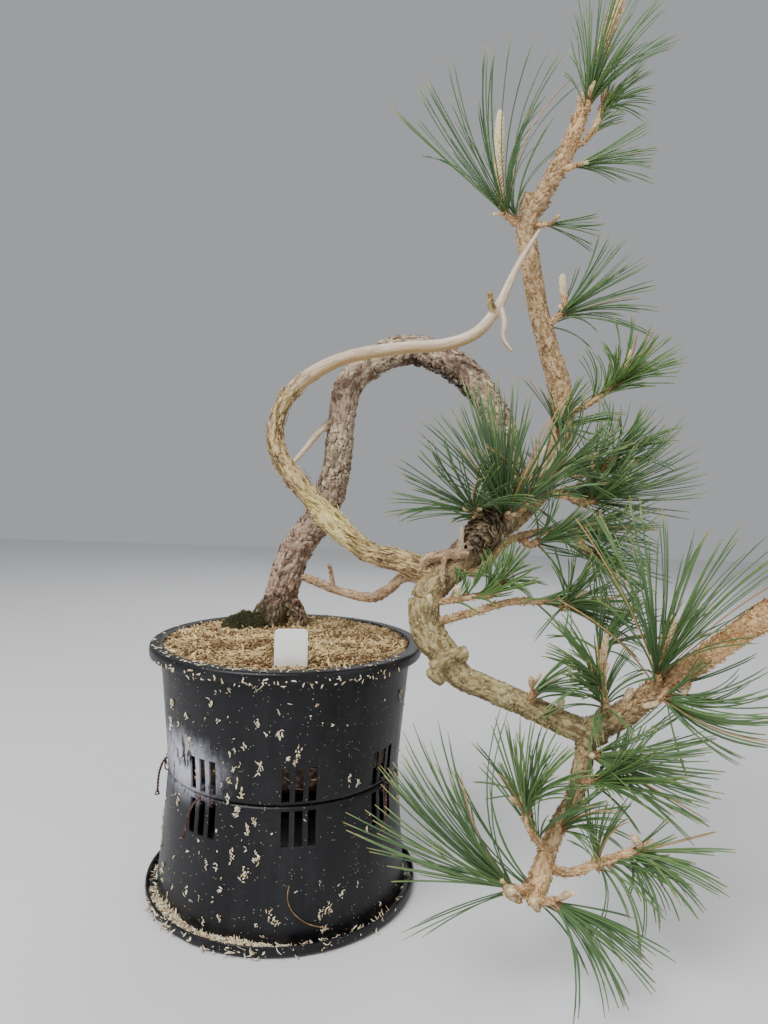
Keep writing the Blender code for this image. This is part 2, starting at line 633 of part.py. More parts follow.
# holes for the trunk's foot, its surface roots and the label
slot_size = (LABEL_WIDTH + 2.0 * GAP, LABEL_THICKNESS + 2.0 * GAP, LABEL_LENGTH + GAP)
slot_mid = Matrix.Translation((0.0, 0.0, label_low - GAP + slot_size[2] / 2.0))
FOOT_STOPS = 5               # the trunk's stops that lie in or near the mix
FOOT_CLEARANCE = GAP * 1.6    # the facets of the cut and of the foot don't line up
foot_points = [(*TRUNK[0][:2], foot_z - GAP / MM, crown_mm)] + trunk_points[:FOOT_STOPS]
rooted = [piece for piece in SMALL_LIMBS if piece.endswith("_root")]


def clear_of_trunk(piece):
    """Cut the shape of the trunk's foot and roots, a clearance larger, out of a piece."""
    cutters = [limb(piece.name + "_foot", foot_points, *TRUNK_FORM, swell=FOOT_CLEARANCE)]
    for number, key in enumerate(SMALL_LIMBS, 1):
        if key in rooted:
            sides, step, points = SMALL_LIMBS[key]
            cutters.append(limb(piece.name + key, points, sides, step, 0.08, number * 3.7, FOOT_CLEARANCE))
    for i, cutter in enumerate(cutters):
        boolean(piece, as_cutter(cutter), "DIFFERENCE", "foot_%d" % i)


for piece in (soil, dressing):
    clear_of_trunk(piece)
    slit = as_cutter(box(piece.name + "_slit", slot_size, label_at @ slot_mid))
    boolean(piece, slit, "DIFFERENCE", "label_slit")
    settle(piece)
clear_of_trunk(moss)
settle(moss)


# ---------------------------------------------------------------- wire ties
def wire_tie(name, group, side):
    """A tie round one bar between slots of both pots, its tail twisted outside."""
    step = SLOT_PITCH / BASE_RADIUS
    middle = math.radians(-90.0 + FIRST_GROUP_ANGLE + group * 360.0 / SLOT_GROUPS) + side * step / 2.0
    reach = step / 2.0
    foot = SLOT_LIFT + 2.0 * WIRE_RADIUS
    outer = BASE_RADIUS + WIRE_RADIUS + WIRE_SLACK
    inner = BASE_RADIUS - WALL_THICKNESS - WIRE_RADIUS - WIRE_SLACK
    mid_r = BASE_RADIUS - WALL_THICKNESS / 2.0
    up = WAIST + GAP / 2.0 + foot
    low = WAIST - GAP / 2.0 - foot

    def spot(turn, radius, z):
        a = middle + turn
        return Vector((radius * math.cos(a), radius * math.sin(a), z))

    loop = [
        spot(-reach * 0.95, inner + 0.0006, up + 0.0012), spot(0.0, inner, up + 0.0016),
        spot(reach * 0.95, inner + 0.0006, up + 0.0012), spot(reach, mid_r, up + 0.0006),
        spot(reach, outer, up - 0.0008), spot(reach * 0.9, outer + 0.0004, WAIST),
        spot(reach, outer, low + 0.0008), spot(reach, mid_r, low - 0.0006),
        spot(reach * 0.95, inner + 0.0006, low - 0.0012), spot(0.0, inner, low - 0.0016),
        spot(-reach * 0.95, inner + 0.0006, low - 0.0012), spot(-reach, mid_r, low - 0.0006),
        spot(-reach, outer, low + 0.0008), spot(-reach * 0.9, outer + 0.0004, WAIST),
        spot(-reach, outer, up - 0.0008), spot(-reach, mid_r, up + 0.0006),
    ]
    bm = bmesh.new()
    tube_mesh(bm, [(p, WIRE_RADIUS) for p in loop], 6, closed=True)
    ring = add_object(name, bm, tie_copper)
    lean = -side * reach
    tail = [
        (spot(-reach * 0.9, outer + 0.0006, WAIST + 0.001), WIRE_RADIUS * 1.25),
        (spot(-reach * 1.2 + lean * 0.3, outer + 0.0035, WAIST - TAIL_LENGTH * 0.1), WIRE_RADIUS * 1.5),
        (spot(-reach * 1.5 + lean * 0.6, outer + 0.0062, WAIST - TAIL_LENGTH * 0.4), WIRE_RADIUS * 1.6),
        (spot(-reach * 1.6 + lean * 0.9, outer + 0.0070, WAIST - TAIL_LENGTH * 0.77), WIRE_RADIUS * 1.45),
        (spot(-reach * 2.2 + lean * 0.9, outer + 0.0078, WAIST - TAIL_LENGTH), WIRE_RADIUS * 0.9),
    ]
    bm = bmesh.new()
    tube_mesh(bm, smooth_route(tail, 0.005), 6)
    pigtail = as_cutter(add_object(name + "_tail", bm, tie_copper))
    boolean(ring, pigtail, "UNION", "twisted_tail")
    return settle(ring)


wire_ties = [
    wire_tie("wire_tie_1", -1, 1),
    wire_tie("wire_tie_2", 1, 1),
    wire_tie("wire_tie_3", -2, -1),
    wire_tie("wire_tie_4", 4, 1),
]


# ---------------------------------------------------------------- candles and needles
def solid_tree(objects):
    verts = []
    polys = []
    for obj in objects:
        start = len(verts)
        verts.extend(v.co.copy() for v in obj.data.vertices)
        polys.extend([start + i for i in p.vertices] for p in obj.data.polygons)
    return BVHTree.FromPolygons(verts, polys)


class Taken:
    """What is already in place, so that no needle runs through it."""

    def __init__(self, objects):
        self.trees = {"fixed": solid_tree(objects)}

    def add(self, key, tree):
        self.trees[key] = tree

    def blocks(self, tree, own):
        """True if the tree runs through anything except its owner's own knot."""
        return any(t.overlap(tree) for key, t in self.trees.items() if key != own)


def ball_tree(centre, radius):
    bm = bmesh.new()
    bmesh.ops.create_icosphere(bm, subdivisions=1, radius=radius)
    bmesh.ops.translate(bm, vec=centre, verts=bm.verts)
    tree = BVHTree.FromBMesh(bm)
    bm.free()
    return tree


def spike_tree(base, tip, radius):
    """A slightly fat stand-in for one spike, used only to test for a clear path."""
    ahead = (tip - base).normalized()
    side = ahead.orthogonal().normalized()
    other = ahead.cross(side)
    foot = []
    head = []
    far = tip + ahead * 0.0012
    for i in range(4):
        a = math.pi * i / 2.0
        out = side * math.cos(a) + other * math.sin(a)
        foot.append(base + out * radius * 1.25)
        head.append(far + out * 0.0006)
    faces = [(i, (i + 1) % 4, 4 + (i + 1) % 4, 4 + i) for i in range(4)]
    faces.append((4, 5, 6, 7))
    return BVHTree.FromPolygons(foot + head, faces)


def candle(name, centre, aim, length, width):
    """A tapered bud standing 0.3 mm off the knot of its tuft."""
    aim = aim.normalized()
    start = centre + aim * (TUFT_CORE + GAP + 0.0004)
    shape = ((0.0, 0.30), (0.12, 0.46), (0.45, 0.50), (0.75, 0.42), (0.93, 0.24), (1.0, 0.08))
    route = [(start + aim * length * t, width * r) for t, r in shape]
    bm = bmesh.new()
    tube_mesh(bm, route, 8, 0.05, length)
    return add_object(name, bm, candle_cream)


SPIKE_GIRTH = 0.0017         # radius kept clear round a needle bundle's foot
CANDLE_CLEAR = 30.0          # degrees round a candle's aim with no needles
WIDEST_LEAN = 82.0
FLOOR_CLEAR = 0.004
SHORTENED = (1.0, 0.86, 0.7, 0.55, 0.4, 0.28)
rng = random.Random(7)
taken = Taken([wood, upper_pot, lower_pot, dressing, moss, label] + wire_ties)
knots = {}
candle_aims = {}
for number, (route, radius, aim, reach, spread, spikes) in enumerate(TUFTS, 1):
    tip = place(route[-1])
    heading = (tip - place(route[-2])).normalized()
    knots[number] = tip + heading * (TUFT_CORE + GAP)
    taken.add("knot_%02d" % number, ball_tree(knots[number], TUFT_CORE + GAP))
for index, (number, aim, length, width) in enumerate(CANDLES, 1):
    vector = Vector(aim)
    bud = candle("candle_%02d" % index, knots[number], vector, length * MM, width * MM)
    candle_aims[number] = vector.normalized()
    taken.add(bud.name, solid_tree([bud]))


def tuft(number, route, aim, reach, spread, spikes):
    """A knot at the shoot tip with one spike for each bundle of needles."""
    centre = knots[number]
    aim = Vector(aim).normalized()
    bm = bmesh.new()
    bmesh.ops.create_icosphere(bm, subdivisions=2, radius=TUFT_CORE * 0.97)
    turn = Matrix.Rotation(rng.uniform(0.0, 6.28), 4, aim)
    bmesh.ops.transform(bm, matrix=turn, verts=bm.verts)
    faces = sorted(bm.faces, key=lambda f: -f.normal.dot(aim))
    grown = 0
    for face in faces:
        if grown >= spikes:
            break
        normal = face.normal.copy()
        angle = math.degrees(normal.angle(aim))
        if angle > WIDEST_LEAN:
            break
        if number in candle_aims and normal.angle(candle_aims[number]) < math.radians(CANDLE_CLEAR):
            continue
        if rng.random() < 0.12:
            continue
        keep = normal - aim * normal.dot(aim)
        if keep.length > 1e-6:
            keep.normalize()
        lean = math.radians(spread * min(1.0, angle / 78.0))
        way = aim * math.cos(lean) + keep * math.sin(lean)
        foot = centre + face.calc_center_median()
        for share in SHORTENED:
            length = reach * MM * NEEDLE_REACH * share * rng.uniform(0.88, 1.04)
            tip = foot + way * length
            if tip.z < FLOOR_CLEAR:
                continue
            if not taken.blocks(spike_tree(foot + way * GAP * 1.3, tip, SPIKE_GIRTH), "knot_%02d" % number):
                made = bmesh.ops.poke(bm, faces=[face])
                made["verts"][0].co = tip - centre
                grown += 1
                break
    bmesh.ops.translate(bm, vec=centre, verts=bm.verts)
    piece = add_object("needles_%02d" % number, bm, needle_green, smooth=False)
    taken.add(piece.name, solid_tree([piece]))
    return piece


for number, (route, radius, aim, reach, spread, spikes) in enumerate(TUFTS, 1):
    tuft(number, route, aim, reach, spread, spikes)


# ---------------------------------------------------------------- seat the whole plant
# the standing plane is z = 0 and the middle of the overall box is x = y = 0
pieces = [o for o in bpy.data.objects if o.type == "MESH" and not o.hide_render]
low = Vector((1e9, 1e9, 1e9))
high = Vector((-1e9, -1e9, -1e9))
for piece in pieces:
    for vert in piece.data.vertices:
        low = Vector(map(min, low, vert.co))
        high = Vector(map(max, high, vert.co))
shift = Vector((-(low.x + high.x) / 2.0, -(low.y + high.y) / 2.0, -low.z))
for piece in pieces:
    piece.data.transform(Matrix.Translation(shift))
    piece.data.update()
print("pot axis at", round(shift.x, 5), round(shift.y, 5), "size", high - low)
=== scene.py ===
# %% [markdown]
# # A looped bonsai pine on an upturned nursery pot
# The plant is a young black pine whose bare trunk makes a loop in the air before it falls over the
# rim of its pot. The CAD frame holds every piece at its true place and size. This lesson dresses that
# frame: it grows real bark, needles and buds where the frame has plain tubes and spikes, and gives
# each surface a finish made from nodes. Nothing here moves or resizes a CAD piece.

# %% Load the fixed frame
import itertools
import math

import bpy
import numpy as np
from mathutils import Matrix, Vector


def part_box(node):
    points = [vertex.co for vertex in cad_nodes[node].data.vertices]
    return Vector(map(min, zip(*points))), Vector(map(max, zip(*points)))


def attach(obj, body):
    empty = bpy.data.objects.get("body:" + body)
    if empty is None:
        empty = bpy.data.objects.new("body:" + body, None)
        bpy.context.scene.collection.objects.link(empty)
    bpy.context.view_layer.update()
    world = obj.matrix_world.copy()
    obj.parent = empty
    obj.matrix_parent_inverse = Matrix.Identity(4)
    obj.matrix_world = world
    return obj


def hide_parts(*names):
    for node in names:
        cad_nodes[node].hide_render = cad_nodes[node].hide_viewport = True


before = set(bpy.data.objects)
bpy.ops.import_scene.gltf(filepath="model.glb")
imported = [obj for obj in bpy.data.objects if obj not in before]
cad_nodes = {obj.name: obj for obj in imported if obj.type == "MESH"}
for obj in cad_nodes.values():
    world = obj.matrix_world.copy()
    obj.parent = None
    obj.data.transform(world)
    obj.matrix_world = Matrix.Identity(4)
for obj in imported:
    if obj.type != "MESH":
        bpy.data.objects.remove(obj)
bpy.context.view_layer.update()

# %% [markdown]
# ## Measuring from the frame
# Everything on this plant is laid out round the upright axis of the two pots, so that axis is found
# first, from the box of the upper pot. Limbs and shreds are then given in millimetres from it.

# %% Find the pots, the waist between them and the rim
MM = 0.001
upper_low, upper_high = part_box("upper_pot")
lower_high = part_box("lower_pot")[1]
axis_x = (upper_low.x + upper_high.x) / 2
axis_y = (upper_low.y + upper_high.y) / 2
rim_radius = (upper_high.x - upper_low.x) / 2
rim_plane = upper_high.z
waist = (upper_low.z + lower_high.z) / 2
pot_height = upper_high.z - upper_low.z
pot_axis = np.array([axis_x, axis_y, 0.0])


def spot(x, y, z):
    """A place in metres, from millimetres measured from the pot axis."""
    return pot_axis + np.array([x, y, z]) * MM


def around(angle, radius, z):
    """A place by its angle from the front (degrees, towards +X), radius and height in metres."""
    turn = math.radians(angle - 90.0)
    return pot_axis + np.array([radius * math.cos(turn), radius * math.sin(turn), z])


print("pot axis", round(axis_x, 4), round(axis_y, 4), "rim", round(rim_radius, 4), "at", round(rim_plane, 4))

# %% [markdown]
# ## Camera, floor and light
# The plant is seen from a little above the rim, close by, with a slightly wide lens, so the pot is
# wide at its rim and the leader runs out of the top of the frame. The light is plain: one large soft
# box high on the left, a weaker one on the right, and a pale surround.

# %% Place the camera
camera_data = bpy.data.cameras.new("plant_camera")
camera_data.lens = 25.49
camera_data.sensor_width = 36.0
camera_data.clip_start = 0.02
camera_data.clip_end = 30.0
camera = bpy.data.objects.new("plant_camera", camera_data)


def show(obj):
    """Link an object into the scene."""
    bpy.context.scene.collection.objects.link(obj)


show(camera)
# how far the camera looks down and leans sideways, in radians
pitch = 0.0444
roll = -0.0308
right = Vector((1.0, 0.0, 0.0))
ahead = Vector((0.0, math.cos(pitch), -math.sin(pitch)))
above = Vector((0.0, math.sin(pitch), math.cos(pitch)))
cam_right = right * math.cos(roll) - above * math.sin(roll)
cam_up = right * math.sin(roll) + above * math.cos(roll)
facing = Matrix((cam_right, cam_up, -ahead)).transposed().to_4x4()
eye = spot(79.35, -622.67, 348.45)
camera.matrix_world = Matrix.Translation(eye) @ facing
bpy.context.scene.camera = camera
print("camera at", [round(v, 3) for v in camera.matrix_world.translation])


# %% Light the plant softly
def soft_box(name, place, target, size, power):
    data = bpy.data.lights.new(name, "AREA")
    data.shape = "SQUARE"
    data.size = size
    data.energy = power
    lamp = bpy.data.objects.new(name, data)
    lamp.location = place
    lamp.rotation_euler = (Vector(target) - Vector(place)).to_track_quat("-Z", "Y").to_euler()
    show(lamp)


heart = spot(110, -20, 360)
soft_box("key_light", spot(-700, -1000, 1700), heart, 1.1, 46.0)
soft_box("fill_light", spot(1300, -900, 900), heart, 1.6, 9.0)
soft_box("back_light", spot(300, 1400, 1500), heart, 1.6, 12.0)
world = bpy.data.worlds.new("pale_surround")
world.use_nodes = True
world.node_tree.nodes["Background"].inputs["Color"].default_value = (0.86, 0.88, 0.92, 1.0)
world.node_tree.nodes["Background"].inputs["Strength"].default_value = 0.44
bpy.context.scene.world = world

# %% [markdown]
# ## Small tools for making meshes
# Most of this plant is many copies of one simple form: a tapered tube (needles, twigs, wire) or a
# thin bent flake (husk, bark scales, bracts). Both are built as arrays of points, a whole batch at a
# time, because tens of thousands of separate objects would be slow and hard to read.


# %% Turn arrays into a piece that rides on the frame
def make_piece(name, points, faces, mat, replaced=(), smooth=True, fields=None):
    """A mesh object from point and face arrays; fields are named numbers kept on its points."""
    mesh = bpy.data.meshes.new(name)
    points = np.asarray(points, np.float32).reshape(-1, 3)
    faces = np.asarray(faces, np.int32)
    sides = faces.shape[1]
    mesh.vertices.add(len(points))
    mesh.vertices.foreach_set("co", points.ravel())
    mesh.loops.add(faces.size)
    mesh.loops.foreach_set("vertex_index", faces.ravel())
    mesh.polygons.add(len(faces))
    mesh.polygons.foreach_set("loop_start", np.arange(0, faces.size, sides, dtype=np.int32))
    mesh.update(calc_edges=True)
    mesh.polygons.foreach_set("use_smooth", np.full(len(faces), smooth))
    for key, values in (fields or {}).items():
        values = np.asarray(values, np.float32)
        kind = "FLOAT" if values.ndim == 1 else "FLOAT_VECTOR"
        layer = mesh.attributes.new(key, kind, "POINT")
        layer.data.foreach_set("value" if values.ndim == 1 else "vector", values.ravel())
    mesh.materials.append(mat)
    obj = bpy.data.objects.new(name, mesh)
    show(obj)
    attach(obj, "root")
    if replaced:
        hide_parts(*replaced)
    return obj


def stack(batches):
    """Join (points, faces, fields) batches into one, renumbering the faces."""
    points = []
    faces = []
    fields = {}
    start = 0
    for batch_points, batch_faces, batch_fields in batches:
        points.append(batch_points)
        faces.append(batch_faces + start)
        start += len(batch_points)
        for key, values in batch_fields.items():
            fields.setdefault(key, []).append(values)
    merged = {key: np.concatenate(values) for key, values in fields.items()}
    return np.concatenate(points), np.concatenate(faces), merged


def unit(vectors):
    return vectors / np.maximum(np.linalg.norm(vectors, axis=-1, keepdims=True), 1e-9)


print("unit of (3, 4):", unit(np.array([3.0, 4.0])))


# %% Sweep a batch of tapered tubes
def tubes(paths, radii, sides, lean=(0.31, 0.17, 0.93)):
    """Closed tubes along paths (tube, ring, xyz) with a radius for every ring."""
    paths = np.asarray(paths, float)
    radii = np.asarray(radii, float)
    count, rings, _ = paths.shape
    ahead = unit(np.gradient(paths, axis=1))
    guide = np.broadcast_to(np.asarray(lean, float), ahead.shape)
    side = unit(np.cross(ahead, guide))
    other = np.cross(ahead, side)
    turn = np.arange(sides) * 2.0 * math.pi / sides
    out = side[:, :, None] * np.cos(turn)[:, None] + other[:, :, None] * np.sin(turn)[:, None]
    skin = paths[:, :, None] + out * radii[:, :, None, None]
    points = np.concatenate([skin.reshape(count, -1, 3), paths[:, :1], paths[:, -1:]], axis=1)
    faces = []
    for ring in range(rings - 1):
        for j in range(sides):
            k = (j + 1) % sides
            a = ring * sides + j
            b = ring * sides + k
            faces.append((a, b, b + sides))
            faces.append((a, b + sides, a + sides))
    tail = rings * sides
    last = (rings - 1) * sides
    for j in range(sides):
        k = (j + 1) % sides
        faces.append((tail, k, j))
        faces.append((tail + 1, last + j, last + k))
    faces = np.asarray(faces)
    starts = np.arange(count)[:, None, None] * (tail + 2)
    travel = np.tile(np.repeat(np.linspace(0.0, 1.0, rings), sides), (count, 1))
    travel = np.concatenate([travel, np.zeros((count, 1)), np.ones((count, 1))], axis=1)
    return points.reshape(-1, 3), (faces[None] + starts).reshape(-1, 3), travel.ravel()


print("tube maker ready")


# %% Scatter a batch of thin bent flakes
FLAKE_STEPS = 4


def flakes(places, along, normals, lengths, widths, thickness, curl, point=0.35):
    """Thin strips at places, running along, facing normals, curled by curl of their length."""
    count = len(places)
    along = unit(along - normals * np.sum(along * normals, axis=1, keepdims=True))
    across = np.cross(normals, along)
    t = np.linspace(-0.5, 0.5, FLAKE_STEPS)
    taper = 1.0 - (1.0 - point) * (2.0 * np.abs(t)) ** 2
    rise = curl[:, None] * (4.0 * t * t - 0.3)[None] * lengths[:, None] * 0.5
    spine = (places[:, None] + along[:, None] * (t[None] * lengths[:, None])[..., None]
            + normals[:, None] * rise[..., None])
    half = across[:, None] * (taper[None] * widths[:, None] * 0.5)[..., None]
    lift = normals[:, None] * (thickness[:, None] * 0.5)[..., None]
    corners = np.stack([spine - half - lift, spine + half - lift, spine + half + lift,
            spine - half + lift], axis=2)
    points = corners.reshape(count, -1, 3)
    faces = []
    for step in range(FLAKE_STEPS - 1):
        a = step * 4
        for j in range(4):
            k = (j + 1) % 4
            faces.append((a + j, a + k, a + 4 + k, a + 4 + j))
    end = (FLAKE_STEPS - 1) * 4
    faces.append((3, 2, 1, 0))
    faces.append((end, end + 1, end + 2, end + 3))
    starts = np.arange(count)[:, None, None] * (FLAKE_STEPS * 4)
    return points.reshape(-1, 3), (np.asarray(faces)[None] + starts).reshape(-1, 4)


print("each flake has", 4 * FLAKE_STEPS, "points")

# %% [markdown]
# ## Random fields
# Bark, husk and dust need randomness that looks the same on every run. A small whole-number hash
# gives each grid cell its own fixed number. Blending those numbers gives a soft field, and the
# distance to a jittered point in each cell gives the plates and cracks of bark.


# %% Define the soft field and the cell field
def hashed(cell, salt):
    """A fixed number from 0 to 1 for each whole-number cell (n, 3)."""
    n = cell[:, 0] * 73856093 ^ cell[:, 1] * 19349663 ^ cell[:, 2] * 83492791 ^ salt * 6291469
    n = ((n ^ (n >> 13)) * 1274126177) & 0xFFFFFFFF
    n = ((n ^ (n >> 15)) * 668265263) & 0xFFFFFFFF
    return ((n ^ (n >> 16)) & 0xFFFFFF) / 0xFFFFFF


def soft_field(points, salt=0):
    """A smooth random field from 0 to 1 with one bump for each unit of length."""
    cell = np.floor(points).astype(np.int64)
    part = points - cell
    ease = part * part * (3.0 - 2.0 * part)
    total = np.zeros(len(points))
    for corner in itertools.product((0, 1), repeat=3):
        weight = np.prod(np.where(np.array(corner) == 1, ease, 1.0 - ease), axis=1)
        total += weight * hashed(cell + np.array(corner), salt)
    return total


def cell_field(points, salt=0):
    """Distances to the two nearest jittered seeds, the nearest one's number and the lift (0 to 1)
    that tells how far along the first axis a point lies from it."""
    base = np.floor(points).astype(np.int64)
    near = np.full(len(points), 9.0)
    next_near = near.copy()
    number = np.zeros(len(points))
    lift = np.zeros(len(points))
    for corner in itertools.product((-1, 0, 1), repeat=3):
        cell = base + np.array(corner)
        jitter = np.stack([hashed(cell, salt + k) for k in (1, 2, 3)], axis=1)
        offset = points - cell - jitter
        gap = np.linalg.norm(offset, axis=1)
        closer = gap < near
        next_near = np.where(closer, near, np.minimum(next_near, gap))
        number = np.where(closer, hashed(cell, salt + 4), number)
        lift = np.where(closer, np.clip(0.5 + offset[:, 0] * 0.7, 0.0, 1.0), lift)
        near = np.where(closer, gap, near)
    return near, next_near, number, lift


def fade(values, low, high):
    """0 below low, 1 above high, eased between."""
    t = np.clip((values - low) / (high - low), 0.0, 1.0)
    return t * t * (3.0 - 2.0 * t)


print("field sample", round(float(soft_field(np.array([[0.3, 0.2, 0.9]]))[0]), 3))

# %% [markdown]
# ## Small tools for materials
# A finish is a chain of nodes. These two helpers add a node and set its inputs in one line, and build
# a node group with named sockets, so that each recipe below can be read like a list of steps.


# %% Define the node helpers
def add(tree, kind, inputs=None, **settings):
    """A new node; an input may be a value or another node's output socket."""
    node = tree.nodes.new(kind)
    for key, value in settings.items():
        setattr(node, key, value)
    for key, value in (inputs or {}).items():
        if isinstance(value, bpy.types.NodeSocket):
            tree.links.new(value, node.inputs[key])
        else:
            node.inputs[key].default_value = value
    return node


def maths(tree, operation, a, b=0.0, clamp=False):
    return add(tree, "ShaderNodeMath", {0: a, 1: b}, operation=operation, use_clamp=clamp).outputs[0]


def plus(tree, a, b, clamp=False):
    return maths(tree, "ADD", a, b, clamp)


def times(tree, a, b):
    return maths(tree, "MULTIPLY", a, b)


def line(tree, value, slope, start):
    """A straight line: value times slope, plus start."""
    return plus(tree, times(tree, value, slope), start)


def blend_colour(tree, mask, first, second, mode="MIX"):
    node = add(tree, "ShaderNodeMix", data_type="RGBA", blend_type=mode)
    for key, value in (("Factor_Float", mask), ("A_Color", first), ("B_Color", second)):
        socket = next(s for s in node.inputs if s.identifier == key)
        if isinstance(value, bpy.types.NodeSocket):
            tree.links.new(value, socket)
        else:
            socket.default_value = value
    return next(s for s in node.outputs if s.identifier == "Result_Color")


def ramp(tree, value, stops):
    """A colour ramp; stops are (place, colour)."""
    node = add(tree, "ShaderNodeValToRGB", {"Fac": value})
    while len(node.color_ramp.elements) < len(stops):
        node.color_ramp.elements.new(0.5)
    for element, (place, colour) in zip(node.color_ramp.elements, stops):
        element.position = place
        element.color = (*colour, 1.0) if len(colour) == 3 else colour
    return node.outputs["Color"]


def mask_ramp(tree, value, low, high):
    """0 below low and 1 above high, as a map range."""
    node = add(tree, "ShaderNodeMapRange", {"Value": value, "From Min": low, "From Max": high},
            interpolation_type="SMOOTHSTEP")
    return node.outputs["Result"]


def noise(tree, vector, scale, detail=3.0, rough=0.6):
    node = add(tree, "ShaderNodeTexNoise", {"Vector": vector, "Scale": scale, "Detail": detail,
            "Roughness": rough})
    return node.outputs["Fac"]


def voronoi(tree, vector, scale):
    """Random cells: their distance field, and one random colour channel for each."""
    return add(tree, "ShaderNodeTexVoronoi", {"Vector": vector, "Scale": scale})


def channel(tree, node, index=0):
    return add(tree, "ShaderNodeSeparateColor", {"Color": node.outputs["Color"]}).outputs[index]


def stretched(tree, vector, scales):
    return add(tree, "ShaderNodeVectorMath", {0: vector, 1: scales}, operation="MULTIPLY").outputs[0]


def kept(tree, name, output="Fac"):
    """A number or vector kept on the mesh's own points."""
    return add(tree, "ShaderNodeAttribute", attribute_name=name).outputs[output]


def object_place(tree):
    return add(tree, "ShaderNodeTexCoord").outputs["Object"]


def node_group(name, inputs, outputs):
    """An empty group with named sockets: floats, colours (4 numbers) or 'vector'."""
    group = bpy.data.node_groups.new(name, "ShaderNodeTree")
    for key, default in inputs.items():
        kind = "NodeSocketFloat"
        if isinstance(default, str):
            kind = "NodeSocketVector"
        elif isinstance(default, tuple):
            kind = "NodeSocketColor"
        socket = group.interface.new_socket(key, in_out="INPUT", socket_type=kind)
        if not isinstance(default, str):
            socket.default_value = default
    for key, kind in outputs.items():
        group.interface.new_socket(key, in_out="OUTPUT", socket_type="NodeSocket" + kind)
    return group, group.nodes.new("NodeGroupInput").outputs, group.nodes.new("NodeGroupOutput").inputs


def use_group(tree, group, inputs=None):
    node = tree.nodes.new("ShaderNodeGroup")
    node.node_tree = group
    for key, value in (inputs or {}).items():
        if isinstance(value, bpy.types.NodeSocket):
            tree.links.new(value, node.inputs[key])
        else:
            node.inputs[key].default_value = value
    return node.outputs


def new_material(name, preview):
    mat = bpy.data.materials.new(name)
    mat.use_nodes = True
    mat.diffuse_color = (*preview, 1.0)
    return mat, mat.node_tree, mat.node_tree.nodes["Principled BSDF"]


def finish_surface(tree, shader, colour=None, roughness=None, height=None, depth=0.0005, strength=1.0):
    """Link colour, roughness and a bump height to the shader."""
    if colour is not None:
        tree.links.new(colour, shader.inputs["Base Color"])
    if roughness is not None:
        tree.links.new(roughness, shader.inputs["Roughness"])
    if height is not None:
        bump = add(tree, "ShaderNodeBump", {"Height": height, "Distance": depth, "Strength": strength})
        tree.links.new(bump.outputs["Normal"], shader.inputs["Normal"])


print("material helpers ready")

# %% [markdown]
# ## A plain floor
# The stand pot rests on a plain pale floor with only the faintest mottling, so that nothing behind
# the plant competes with thin needles.

# %% Lay the floor
FLOOR_HALF = 3.0
FLOOR_DROP = 0.0004
floor_mesh = bpy.data.meshes.new("pale_floor")
floor_corners = [(-FLOOR_HALF, -FLOOR_HALF, -FLOOR_DROP), (FLOOR_HALF, -FLOOR_HALF, -FLOOR_DROP),
        (FLOOR_HALF, FLOOR_HALF, -FLOOR_DROP), (-FLOOR_HALF, FLOOR_HALF, -FLOOR_DROP)]
floor_mesh.from_pydata(floor_corners, [], [(0, 1, 2, 3)])
floor = bpy.data.objects.new("pale_floor", floor_mesh)
show(floor)
floor_mat, floor_tree, floor_shader = new_material("pale_floor_finish", (0.8, 0.8, 0.8))
mottle = noise(floor_tree, object_place(floor_tree), 2.5, 4.0, 0.6)
floor_colour = blend_colour(floor_tree, mottle, (0.70, 0.705, 0.71, 1.0), (0.76, 0.76, 0.765, 1.0))
finish_surface(floor_tree, floor_shader, floor_colour)
floor_shader.inputs["Roughness"].default_value = 0.85
floor_mesh.materials.append(floor_mat)
print("floor", 2.0 * FLOOR_HALF, "m across, at", -FLOOR_DROP)

# %% [markdown]
# ## Shared effects
# Three effects turn up on several finishes, so each is one node group. Film is the dust, lime and
# fine grit that settles on plastic and wire. Fibre is the long grain of dead wood, husk and bud
# scales. Flaked bark puts the colour of plates, their pale broken edges and the cracks between
# them, dark partly from the bark's own ground and partly from painted shade in their depth, from
# numbers that the bark mesh carries on its points.


# %% Build the film group
def build_film_group():
    group, given, result = node_group(
        "film_of_dust",
        {"Place": "vector", "Amount": 0.5, "Speck size": 900.0},
        {"Mask": "Float", "Specks": "Float", "Height": "Float"})
    tree = group
    cloudy = noise(tree, stretched(tree, given["Place"], (1.0, 1.0, 0.35)), 38.0, 5.0, 0.68)
    fine = noise(tree, given["Place"], 420.0, 4.0, 0.7)
    drifts = mask_ramp(tree, plus(tree, cloudy, times(tree, fine, 0.35)), 0.52, 0.92)
    tree.links.new(times(tree, drifts, given["Amount"]), result["Mask"])
    dots = voronoi(tree, given["Place"], given["Speck size"])
    tiny = maths(tree, "LESS_THAN", dots.outputs["Distance"], 0.16)
    chance = channel(tree, dots)
    rare = maths(tree, "GREATER_THAN", chance, 0.82)
    tree.links.new(times(tree, tiny, rare), result["Specks"])
    tree.links.new(plus(tree, fine, times(tree, cloudy, 0.5)), result["Height"])
    return group


film_group = build_film_group()
print("film group:", len(film_group.nodes), "nodes")


